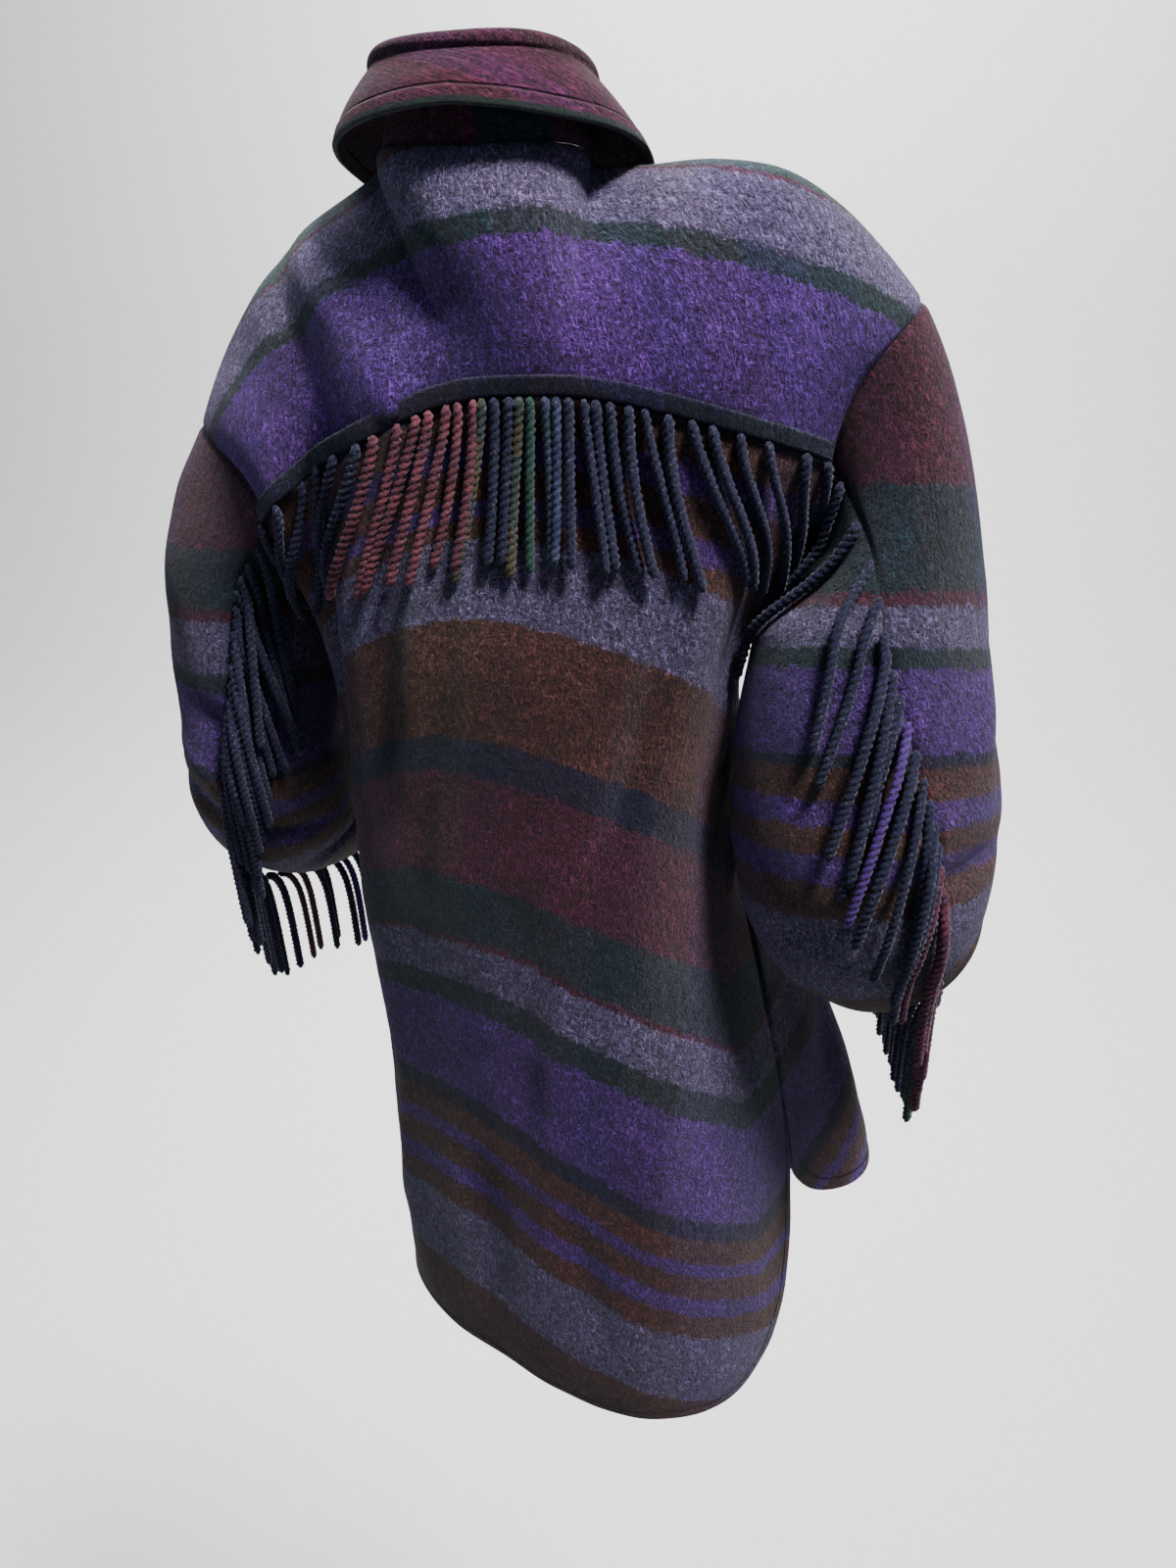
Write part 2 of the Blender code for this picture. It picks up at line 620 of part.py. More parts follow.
def drawn_in(grid, distance):
    """The same grid with its first and last columns drawn in."""
    for row in grid:
        row[0] += (row[1] - row[0]).normalized() * distance
        row[-1] += (row[-2] - row[-1]).normalized() * distance
    return grid


def build_back_fringe():
    ways = trunk_ways()
    middle = len(ways) // 2
    ways = ways[middle - FRINGE_RIGHT_COLUMNS:middle + FRINGE_LEFT_COLUMNS + 1]
    grid = [[below_point(way, row, True) for way in ways] for row in FRINGE_ROWS]
    grid = moved_out(grid, False, FRINGE_CLEAR + FRINGE_THICK)
    wall("fringe_back", grid, own_ways(grid, False), FRINGE_THICK, False, CLOTH_NAVY)


def build_sleeve_fringe(word, side):
    """Strands from the sleeve's back seam: down its back first, then free under the forearm."""
    flip = side > 0
    panels = {part: (sleeve_grid(side, columns), flip)
              for part, columns in sleeve_columns(side).items()}
    ways = facing_ways(panels)
    grid = []
    for position, row in zip(sleeve_positions(), panels["under"][0]):
        if not SLEEVE_FRINGE_START <= position <= SLEEVE_FRINGE_END:
            continue
        free = smooth((position - FRINGE_FREE_FROM) / (FRINGE_FREE_BY - FRINGE_FREE_FROM))
        raised = [point + ways[key_of(point)].normalized() * (FRINGE_CLEAR + FRINGE_THICK)
                  for point in row[:SLEEVE_FRINGE_COLUMNS + 1]]
        grid.append([])
        for i, lying in enumerate(raised):
            reach = FRINGE_LENGTH * i / SLEEVE_FRINGE_COLUMNS
            hanging = raised[0] + Vector((side * FRINGE_SWING, 0, -1)) * reach
            bow = (lying - row[i]).normalized() * FRINGE_BOW * 4 * free * (1 - free)
            grid[-1].append(lying.lerp(hanging, free) + bow)
    wall(f"fringe_sleeve_{word}", grid, own_ways(grid, flip), FRINGE_THICK, flip, CLOTH_NAVY)


def build_cuff(word, side):
    """A band round the wrist whose last stretch laps over its start."""
    middle, outward, backward, here, way = arm_frame(side, SLEEVE_END - 1)
    grid = []
    for along in (0.0, 0.5, 1.0):
        row = []
        for turn in spread(0.0, 360.0 + CUFF_LAP, CUFF_COLUMNS):
            lift = (CLOTH + 2 * SEAM_GAP) * smooth((turn - 360.0 + CUFF_LAP) / CUFF_LAP)
            a = math.radians(CUFF_START + turn)
            radius = here.out + lift - CUFF_TAPER * along
            round_way = outward * math.cos(a) + backward * math.sin(a)
            row.append(middle + round_way * radius + way * (2 * SEAM_GAP + CUFF_LENGTH * along))
        grid.append(row)
    flip = side > 0
    ways = own_ways(grid, flip)
    wall(f"cuff_{word}", grid, ways, CLOTH, flip, CLOTH_NAVY)
    build_button(f"button_cuff_{word}", grid[1][CUFF_BUTTON_COLUMN], ways[1][CUFF_BUTTON_COLUMN])


def along_row(row, distance):
    """The point so far along a row's own straight stretches."""
    for before, after in zip(row, row[1:]):
        length = (after - before).length
        if distance <= length:
            return before.lerp(after, distance / length)
        distance -= length
    return row[-1]


def build_button_band():
    """A straight band over the middle where the fronts meet, with its buttons."""
    grids = trunk_grids()
    grid = []
    for right, left in zip(grids["front_right"], grids["front_left"]):
        grid.append([along_row(right, BAND_WIDTH / 2), left[0], along_row(left, BAND_WIDTH / 2)])
    flip = True
    grid = moved_out(grid, flip, BAND_CLEAR + CLOTH)
    ways = own_ways(grid, flip)
    wall("button_band", grid, ways, CLOTH, flip, CLOTH_NAVY)
    heights = [row[1].z for row in grid]
    for i in range(FRONT_BUTTONS):
        height = FIRST_BUTTON_Z - BUTTON_SPACING * i
        below = next(r for r, z in enumerate(heights) if z < height)
        k = (heights[below - 1] - height) / (heights[below - 1] - heights[below])
        point = grid[below - 1][1].lerp(grid[below][1], k)
        way = ways[below - 1][1].lerp(ways[below][1], k).normalized()
        build_button(f"button_front_{i + 1}", point, way)


def build_button(name, seat, way):
    """A plain button, flat on its seat."""
    mesh = bmesh.new()
    bmesh.ops.create_cone(mesh, cap_ends=True, segments=BUTTON_SIDES, radius1=BUTTON_DIAMETER / 2,
                          radius2=BUTTON_DIAMETER / 2 - BUTTON_EDGE, depth=BUTTON_THICK)
    turn = way.to_track_quat("Z", "Y").to_matrix().to_4x4()
    turn.translation = seat + way * (BUTTON_THICK / 2 + BUTTON_CLEAR)
    bmesh.ops.transform(mesh, matrix=turn, verts=mesh.verts[:])
    bmesh.ops.triangulate(mesh, faces=mesh.faces[:])
    add_object(name, mesh, HORN)


def build_pocket(word, side):
    """The in-seam pocket's bag, flat against the inside of the front."""
    shares = trunk_shares()[-POCKET_COLUMNS:]
    rows = [row for row in TRUNK_ROWS if POCKET_TOP <= row.down and row.tail == 0]
    grid = [[below_point(side * share, row, False) for share in shares] for row in rows]
    flip = side > 0
    grid = moved_out(grid, flip, -CLOTH - POCKET_CLEAR)
    for row in grid:
        row[-1] += (row[-2] - row[-1]).normalized() * POCKET_MARGIN
    wall(f"pocket_{word}", grid, own_ways(grid, flip), POCKET_THICK, flip, POCKET_LINING)


def start_scene():
    for old in list(bpy.data.objects):
        bpy.data.objects.remove(old, do_unlink=True)
    collection = bpy.data.collections.new("shirt_jacket")
    bpy.context.scene.collection.children.link(collection)
    return collection


parts_collection = start_scene()
build_panels()
build_collar_fall()
build_yoke_band()
build_back_fringe()
build_button_band()
for side_word, side_sign in (("left", 1), ("right", -1)):
    build_sleeve_fringe(side_word, side_sign)
    build_cuff(side_word, side_sign)
    build_pocket(side_word, side_sign)
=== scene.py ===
"""The looks of the wool blanket shirt jacket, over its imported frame.

The form is worked out as the part's is, from the same sizes, but with fine rows and
columns, folds, rolled seams, and a stripe coordinate measured down the cloth.
"""
import math
import random
from collections import defaultdict, namedtuple

import bpy
import numpy as np
from mathutils import Matrix, Vector, noise
from mathutils.kdtree import KDTree


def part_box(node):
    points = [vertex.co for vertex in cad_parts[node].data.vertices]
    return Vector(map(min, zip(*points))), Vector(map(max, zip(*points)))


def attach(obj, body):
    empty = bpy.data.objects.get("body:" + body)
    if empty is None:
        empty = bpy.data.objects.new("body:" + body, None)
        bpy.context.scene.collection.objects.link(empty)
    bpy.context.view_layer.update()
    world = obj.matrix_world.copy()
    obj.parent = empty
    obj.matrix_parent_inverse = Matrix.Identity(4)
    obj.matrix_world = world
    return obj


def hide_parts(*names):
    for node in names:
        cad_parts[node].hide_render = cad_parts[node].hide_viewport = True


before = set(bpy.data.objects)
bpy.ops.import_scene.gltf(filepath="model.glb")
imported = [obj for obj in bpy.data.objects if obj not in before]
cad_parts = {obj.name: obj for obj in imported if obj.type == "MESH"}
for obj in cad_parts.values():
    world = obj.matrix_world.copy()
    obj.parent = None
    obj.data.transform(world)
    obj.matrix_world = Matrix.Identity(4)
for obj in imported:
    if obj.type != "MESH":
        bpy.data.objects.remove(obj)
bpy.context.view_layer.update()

# ---------------------------------------------------------------- driving dimensions
CLOTH = 0.0028            # brushed wool blanket cloth
SEAM_GAP = 0.0003         # between the pieces at a seam, and under what lies on a panel

NECK_HALF_WIDTH = 0.070
NECK_SHIFT = 0.018        # of the neck towards the wearer's left, as they lean
NECK_BACK = 0.072         # neck seam behind the origin
NECK_FRONT = 0.088        # neck seam in front of it
NECK_DROP = 0.070         # fall of the neck seam from back to front
STAND_HEIGHT = 0.048
STAND_HEIGHT_FRONT = 0.030
STAND_LEVEL_TO = 10.0     # degrees round from the centre back, where the stand begins to get lower
STAND_FRONT_FROM = 170.0  # where it has its front height
STAND_HOLLOW = 0.004      # of the stand's curve in towards the neck, halfway up
STAND_LEAN = 0.003        # of its top towards the neck
STAND_FORWARD = 0.006     # of its top, forward, at the centre back
ROLL_RADIUS = 0.005       # of the fall's turn over the top of the stand
ROLL_CLEAR = 0.002        # of that turn's middle, up and out from the stand's top edge
ROLL_INSIDE = -70.0       # degrees from straight up, where the turn starts inside the stand
ROLL_OUTSIDE = 130.0
ROLL_SHARE = 0.25         # of the fall's width, in its rows' terms, spent on that turn
FALL_BOW = 0.004          # of the fall away from straight
FALL_END = 166.0          # degrees round from the centre back, where its points are

NECK_SHARE = 0.30         # of a panel's width, counted from the centre, that ends at the neck
NECK_DIP = 2.4            # exponent of the neck seam's fall towards the front
SHOULDER_ARCH = 1.3       # exponent that moves the shoulder seam's arch outwards
YOKE_RISE = Vector((0, 0.015, 0.17))           # the cloth's way up from the yoke seam, as a curve's tangent
NECK_ARRIVAL = Vector((0, -0.11, 0.085))       # its way into the neck seam
SHOULDER_ARRIVAL = Vector((0, -0.16, -0.004))  # its way into the shoulder seam
YOKE_DEPTH = 0.140        # neck seam to yoke seam at the centre back, measured upright
YOKE_EDGE_ANGLE = 72.0    # where the yoke seam meets the armhole, degrees from centre back
CHEST_EDGE_ANGLE = 108.0  # the same on the fronts
UNDERARM_LEVEL = 0.165    # below the yoke seam, measured down the cloth
DROP_FADE = 0.22          # over which the slant of the rows fades away

BACK_LENGTH = 0.818       # yoke seam to hem down the centre back
VENT_LENGTH = 0.615       # yoke seam to the top of the side vent
FRONT_LENGTH = 0.738
SHIRT_TAIL_FLAT = 55.0    # degrees of the hem each side of the centre before it rises
TAIL_START = 0.575        # below the yoke seam, above which the rows run level

BAND_WIDTH = 0.034        # button band
YOKE_BAND_WIDTH = 0.013
YOKE_BAND_INSET = 0.003   # of its ends from the armholes
BAND_CLEAR = 0.0012       # between a band and the panels it lies on
FRINGE_LENGTH = 0.125     # of its reach, straight down
SLEEVE_SWING = 0.036      # how far the free strands swing outwards, as a share of their drop
CUFF_LENGTH = 0.062
CUFF_LAP = 28.0           # degrees that its end lies over its start
CUFF_START = 40.0
CUFF_TAPER = 0.002
CUFF_SWELL = 0.0012       # of its middle
BUTTON_DIAMETER = 0.021
BUTTON_THICK = 0.0036
FRONT_BUTTONS = 6
POCKET_TOP = 0.360        # below the yoke seam
POCKET_LENGTH = 0.155
POCKET_MARGIN = 0.008     # between the bag and the side seam
POCKET_FROM = 0.66        # share of the front, from its edge, where the bag begins
POCKET_CLEAR = 0.0010
POCKET_THICK = 0.0020     # both layers of the bag
SIDES = (("left", 1), ("right", -1))


# The collar's fall, by degrees round from the centre back: its width below the roll, and
# how steeply it falls, in degrees down from level.
Fall = namedtuple("Fall", "angle width slope")
COLLAR_FALL = (
    Fall(0.0, 0.034, 52.0),
    Fall(45.0, 0.042, 55.0),
    Fall(90.0, 0.050, 48.0),
    Fall(135.0, 0.062, 42.0),
    Fall(180.0, 0.074, 50.0),
)

# The body's level rings. turn is in degrees, and moves the back towards the wearer's right.
Level = namedtuple("Level", "z half_width back front centre_x centre_y turn")
BODY = (
    Level(-0.10, 0.236, 0.096, 0.105, -0.008, -0.006, 4.0),
    Level(-0.19, 0.230, 0.108, 0.122, -0.004, -0.006, 4.0),
    Level(-0.33, 0.168, 0.132, 0.140, 0.002, 0.008, 1.0),
    Level(-0.50, 0.166, 0.146, 0.148, 0.000, 0.030, -9.0),
    Level(-0.70, 0.202, 0.160, 0.156, -0.026, 0.056, -22.0),
    Level(-0.93, 0.204, 0.192, 0.168, -0.060, 0.088, -24.0),
)
SQUARENESS = 3.0          # exponent of a ring's outline; 2 would be an ellipse

# The shoulder points, how high the shoulder seam arches on its way there, and how much
# lower the yoke seam is at that armhole than at the centre. side is +1 for the wearer's left.
Shoulder = namedtuple("Shoulder", "side x y z arch yoke_drop")
SHOULDERS = (
    Shoulder(1, 0.274, -0.034, -0.190, 0.036, 0.104),
    Shoulder(-1, 0.266, 0.006, -0.100, 0.038, 0.055),
)

# Deep folds down the body: where they start and end below the yoke seam, and how deep.
Fold = namedtuple("Fold", "angle width depth top bottom")
FOLD_ENDS = 0.6            # exponent of a fold's fading towards its ends
BODY_FOLDS = (
    Fold(59.0, 6.0, 0.024, -0.12, 0.42),
    Fold(-64.0, 7.0, 0.010, 0.02, 0.36),
    Fold(72.0, 24.0, 0.054, 0.30, 1.20),
    Fold(-122.0, 15.0, -0.048, 0.50, 1.10),
    Fold(150.0, 9.0, 0.009, 0.05, 0.60),
    Fold(-152.0, 10.0, 0.008, 0.10, 0.40),
)

# An arm's way: the middle of the sleeve, its radius out from the body and its radius
# front to back, from below the shoulder to the wrist. twist turns the cloth on the arm, in
# degrees towards the body at the back.
Station = namedtuple("Station", "x y z out back twist")
ARMS = {
    1: (
        Station(0.246, -0.002, -0.325, 0.068, 0.084, 6.0),
        Station(0.246, 0.014, -0.395, 0.068, 0.084, -4.0),
        Station(0.252, 0.026, -0.468, 0.070, 0.082, -14.0),
        Station(0.254, 0.004, -0.530, 0.071, 0.071, -24.0),
        Station(0.238, -0.068, -0.558, 0.064, 0.064, -24.0),
        Station(0.222, -0.148, -0.560, 0.056, 0.056, -16.0),
    ),
    -1: (
        Station(0.252, 0.046, -0.325, 0.084, 0.086, 4.0),
        Station(0.256, 0.085, -0.410, 0.098, 0.088, -14.0),
        Station(0.263, 0.110, -0.496, 0.094, 0.088, -26.0),
        Station(0.284, 0.072, -0.552, 0.078, 0.078, -30.0),
        Station(0.292, -0.002, -0.572, 0.066, 0.066, -26.0),
        Station(0.286, -0.070, -0.574, 0.056, 0.056, -16.0),
    ),
}
STATION_STEP = 0.05       # over which an arm's way is measured
HEAD_WAY = Vector((0.58, 0.0, -0.80))  # the cloth's way out of the left armhole
HEAD_LEAVE = 0.045        # length of the sleeve head's curve tangent at the armhole's underarm
HEAD_LEAVE_TOP = 0.12     # how much more it is at the shoulder
HEAD_ARRIVE = 0.05        # the same at the first ring round the arm
HEAD_ARRIVE_TOP = 0.10


# ---------------------------------------------------------------- small maths
def spline(a, b, c, d, k):
    """Catmull-Rom value between b and c."""
    return 0.5 * (2 * b + (c - a) * k + (2 * a - 5 * b + 4 * c - d) * k * k
                  + (3 * b - a - 3 * c + d) * k ** 3)


def row_between(rows, position):
    """A smooth row of a table at a fractional index, all columns at once."""
    last = len(rows) - 1
    position = min(max(position, 0.0), float(last))
    i = min(int(position), last - 1)
    before = rows[max(i - 1, 0)]
    after = rows[min(i + 2, last)]
    k = position - i
    return [spline(a, b, c, d, k) for a, b, c, d in zip(before, rows[i], rows[i + 1], after)]


def hermite(start, start_way, end, end_way, k):
    """A curve from start to end that leaves and arrives along the two ways."""
    k2 = k * k
    k3 = k2 * k
    return (start * (2 * k3 - 3 * k2 + 1) + start_way * (k3 - 2 * k2 + k)
            + end * (3 * k2 - 2 * k3) + end_way * (k3 - k2))


def smooth(k):
    k = min(max(k, 0.0), 1.0)
    return k * k * (3 - 2 * k)


def spread(start, end, count):
    """count + 1 even values from start to end."""
    return [start + (end - start) * i / count for i in range(count + 1)]


# ---------------------------------------------------------------- the body
def body_ring(z, angle):
    """A point of the body's level ring; 0 degrees is the centre back, +90 the left side."""
    position = 0.0
    for i in range(len(BODY) - 1):
        upper, lower = BODY[i].z, BODY[i + 1].z
        if z <= upper:
            position = i + min((upper - z) / (upper - lower), 1.0)
    level = Level(*row_between(BODY, position))
    a = math.radians(angle)
    depth = level.back if math.cos(a) > 0 else level.front
    corner = (abs(math.sin(a) / level.half_width) ** SQUARENESS
              + abs(math.cos(a) / depth) ** SQUARENESS)
    reach = corner ** (-1 / SQUARENESS)
    x = reach * math.sin(a)
    y = reach * math.cos(a)
    r = math.radians(level.turn)
    return Vector((x * math.cos(r) - y * math.sin(r) + level.centre_x,
                   x * math.sin(r) + y * math.cos(r) + level.centre_y, z))


def way_round(angle):
    """Degrees from the nearer of the two centres, back or front."""
    return min(abs(angle), 180 - abs(angle))


def side_drop(angle):
    """How much lower the rows lie there than at the centre."""
    share = min(way_round(angle) / YOKE_EDGE_ANGLE, 1.0)
    return shoulder_of(1 if angle >= 0 else -1).yoke_drop * share ** 3


def row_height(angle, down):
    """Height of the cloth's row that lies so far down below the yoke seam."""
    return -YOKE_DEPTH - down - side_drop(angle) * math.exp(-down / DROP_FADE)


def fold_push(angle, down):
    """How far the deep folds push the cloth in."""
    push = 0.0
    for fold in BODY_FOLDS:
        reach = (down - fold.top) / (fold.bottom - fold.top)
        if 0 < reach < 1:
            across = (angle - fold.angle) / fold.width
            push += fold.depth * math.sin(math.pi * reach) ** FOLD_ENDS * math.exp(-across * across)
    return push


def inward_way(point, angle):
    """Level and square to the body's ring, into the hollow."""
    along = body_ring(point.z, angle + 1.0) - body_ring(point.z, angle - 1.0)
    return along.cross(Vector((0, 0, 1))).normalized()


def body_point(angle, down):
    """A point of the body's cloth, with its deep folds."""
    point = body_ring(row_height(angle, down), angle)
    return point + inward_way(point, angle) * fold_push(angle, down)


def hem_down(angle):
    """How far down the cloth the shirt-tail hem lies."""
    around = abs(angle) if abs(angle) <= 90 else 180 - abs(angle)
    length = BACK_LENGTH if abs(angle) <= 90 else FRONT_LENGTH
    k = min(max((around - SHIRT_TAIL_FLAT) / (90 - SHIRT_TAIL_FLAT), 0.0), 1.0)
    return length + (VENT_LENGTH - length) * (1 - math.sqrt(1 - k * k))


def edge_angle(down, yoke_angle):
    """Where the panel ends at the armhole, or at the side seam below it."""
    k = smooth(down / UNDERARM_LEVEL)
    return yoke_angle + (90.0 - yoke_angle) * k


def shoulder_of(side):
    return next(shoulder for shoulder in SHOULDERS if shoulder.side == side)


def neck_point(angle):
    a = math.radians(angle)
    reach = NECK_BACK if math.cos(a) > 0 else NECK_FRONT
    return Vector((NECK_HALF_WIDTH * math.sin(a) + NECK_SHIFT, reach * math.cos(a),
                   -NECK_DROP * ((1 - math.cos(a)) / 2) ** NECK_DIP))


def top_point(across, back):
    """The neck seam, then the shoulder seam, from the centre (0) to a shoulder (+1 or -1)."""
    side = 1 if across >= 0 else -1
    share = abs(across)
    neck_side = neck_point(90.0 * side)
    if share < NECK_SHARE:
        turn = 90.0 * share / NECK_SHARE
        return neck_point(side * (turn if back else 180.0 - turn))
    k = (share - NECK_SHARE) / (1 - NECK_SHARE)
    shoulder = shoulder_of(side)
    end = Vector((side * shoulder.x, shoulder.y, shoulder.z))
    arch = Vector((0, 0, shoulder.arch * math.sin(math.pi * k ** SHOULDER_ARCH)))
    return neck_side.lerp(end, k) + arch


def upper_angle(across, back):
    edge = YOKE_EDGE_ANGLE if back else CHEST_EDGE_ANGLE
    return across * edge if back else math.copysign(180 - abs(across) * (180 - edge), across)


def upper_point(across, up, back):
    """The cloth between the yoke seam's level and the neck and shoulder seams."""
    angle = upper_angle(across, back)
    start = body_ring(row_height(angle, 0.0), angle)
    end = top_point(across, back)
    outer = smooth(abs(across) / (2 * NECK_SHARE))
    start_way, neck_way, shoulder_way = YOKE_RISE.copy(), NECK_ARRIVAL.copy(), SHOULDER_ARRIVAL.copy()
    if not back:
        start_way.y = -start_way.y
        neck_way.y = -neck_way.y
        shoulder_way = -shoulder_way
    end_way = neck_way.lerp(shoulder_way, outer)
    point = hermite(start, start_way, end, end_way, up)
    return point + inward_way(start, angle) * fold_push(angle, -up * YOKE_DEPTH)


# ---------------------------------------------------------------- the sleeves
def arm_frame(side, position):
    """Middle, outward way, backward way and radii of a sleeve at a fractional station."""
    rows = ARMS[side]
    here = Station(*row_between(rows, position))
    ahead = Station(*row_between(rows, min(position + STATION_STEP, len(rows) - 1)))
    behind = Station(*row_between(rows, max(position - STATION_STEP, 0)))
    way = Vector((side * (ahead.x - behind.x), ahead.y - behind.y, ahead.z - behind.z))
    way.normalize()
    outward = Vector((side, 0, 0)) - way * side * way.x
    outward.normalize()
    backward = way.cross(outward) * -side
    middle = Vector((side * here.x, here.y, here.z))
    return middle, outward, backward, here, way


def sleeve_ring_point(side, position, angle):
    """A point round the arm; 0 degrees is outermost, 90 at the back, 180 next to the body."""
    middle, outward, backward, here, _ = arm_frame(side, position)
    a = math.radians(angle + here.twist)
    return middle + outward * here.out * math.cos(a) + backward * here.back * math.sin(a)


def sleeve_cap_point(side, start, angle, k):
    """The sleeve's head, from a point of the armhole to the first ring round the arm."""
    end = sleeve_ring_point(side, 0.0, angle)
    way = arm_frame(side, 0.0)[-1]
    top_share = (1 + math.cos(math.radians(angle))) / 2
    leaving = Vector((side * HEAD_WAY.x, HEAD_WAY.y, HEAD_WAY.z))
    start_way = leaving * (HEAD_LEAVE + HEAD_LEAVE_TOP * top_share)
    return hermite(start, start_way, end, way * (HEAD_ARRIVE + HEAD_ARRIVE_TOP * top_share), k)


def below_place(across, row, back):
    """The angle and the way down of a place below the yoke seam; row is a TRUNK_ROWS entry."""
    side = 1 if across >= 0 else -1
    yoke_angle = YOKE_EDGE_ANGLE if back else 180 - CHEST_EDGE_ANGLE
    around = abs(across) * edge_angle(row.down, yoke_angle)
    angle = side * (around if back else 180 - around)
    return angle, row.down + row.tail * (hem_down(angle) - row.down)


def below_point(across, row, back):
    return body_point(*below_place(across, row, back))


# A row of the trunk below the yoke seam. tail is the share of what is left down to the hem.
TrunkRow = namedtuple("TrunkRow", "down tail")


def reach_along(points):
    """Distance of each point from the first."""
    reached = [0.0]
    for before, after in zip(points, points[1:]):
        reached.append(reached[-1] + (after - before).length)
    return reached


def angles_along(points):
    """0 to 180 degrees, shared out by the way along the points."""
    steps = reach_along(points)
    return [180.0 * step / steps[-1] for step in steps]


def sleeve_point(side, start, angle, position):
    """position runs 0 to 1 down the sleeve's head, then on from station to station."""
    if position <= 1:
        return sleeve_cap_point(side, start, angle, position)
    return sleeve_ring_point(side, position - 1, angle)


SLEEVE_END = len(ARMS[1])  # the last station, counted with the sleeve's head as 1


# ---------------------------------------------------------------- the collar
def stand_point(angle, up):
    """The collar's stand, from the neck seam (0) to its top (1)."""
    base = neck_point(angle)
    front = smooth((abs(angle) - STAND_LEVEL_TO) / (STAND_FRONT_FROM - STAND_LEVEL_TO))
    height = STAND_HEIGHT + (STAND_HEIGHT_FRONT - STAND_HEIGHT) * front
    inward = Vector((NECK_SHIFT - base.x, -base.y, 0)).normalized()
    lean = inward * (STAND_HOLLOW * math.sin(math.pi * up) + STAND_LEAN * up)
    forward = Vector((0, -STAND_FORWARD * up * (1 - front), 0))
    return base + Vector((0, 0, height * up)) + lean + forward


def fall_point(angle, out):
    """The collar's fall, from inside the top of the stand (0), over the roll, to its edge."""
    top = stand_point(angle, 1.0)
    away = Vector((top.x - NECK_SHIFT, top.y, 0)).normalized()
    shape = Fall(*row_between(COLLAR_FALL, abs(angle) / COLLAR_FALL[1].angle))
    turn = math.radians(ROLL_INSIDE + (ROLL_OUTSIDE - ROLL_INSIDE) * min(out / ROLL_SHARE, 1.0))
    level = ROLL_RADIUS * math.sin(turn) + ROLL_CLEAR
    height = ROLL_RADIUS * math.cos(turn) + ROLL_CLEAR
    rolled = top + away * level + Vector((0, 0, height))
    k = max(out - ROLL_SHARE, 0.0) / (1 - ROLL_SHARE)
    slope = math.radians(shape.slope)
    down = away * math.cos(slope) - Vector((0, 0, math.sin(slope)))
    return rolled + down * shape.width * k + away * FALL_BOW * math.sin(math.pi * k)


# ---------------------------------------------------------------- fine rows and columns
EDGE_STEPS = (0.0012, 0.0026, 0.0045, 0.0075)   # from a seam or a hem, metres
PANEL_REACH = 0.25        # metres across half a panel, and
UPPER_REACH = 0.17        # up the yoke, that turn those steps into shares


def with_steps(values, ends):
    """The values and some more close to each (end, metres per unit), in rising order."""
    more = set(round(value, 6) for value in values)
    low, high = min(values), max(values)
    for end, reach in ends:
        for step in EDGE_STEPS:
            for near in (end - step / reach, end + step / reach):
                if low < near < high:
                    more.add(round(near, 6))
    return sorted(more)


SHARES = with_steps(spread(0.0, 1.0, 50), ((1.0, PANEL_REACH),))
UPS = with_steps(spread(0.0, 1.0, 30), ((0.0, UPPER_REACH), (1.0, UPPER_REACH)))[::-1]
DOWNS = with_steps(spread(0.0, UNDERARM_LEVEL, 30) + spread(UNDERARM_LEVEL, TAIL_START, 72),
                   ((0.0, 1.0),))
TAILS = with_steps(spread(0.0, 1.0, 36), ((1.0, BACK_LENGTH - TAIL_START),))[1:]
TRUNK_ROWS = [TrunkRow(down, 0.0) for down in DOWNS] + [TrunkRow(TAIL_START, tail) for tail in TAILS]
WHOLE_WIDTH = [-share for share in SHARES[:0:-1]] + SHARES
ARMHOLE_ROWS = [row for row in TRUNK_ROWS if row.down <= UNDERARM_LEVEL + 1e-6]
SLEEVE_POSITIONS = with_steps(spread(0.0, 1.0, 24) + spread(1.0, SLEEVE_END, 90),
                              ((0.0, 0.12), (SLEEVE_END, 0.08)))

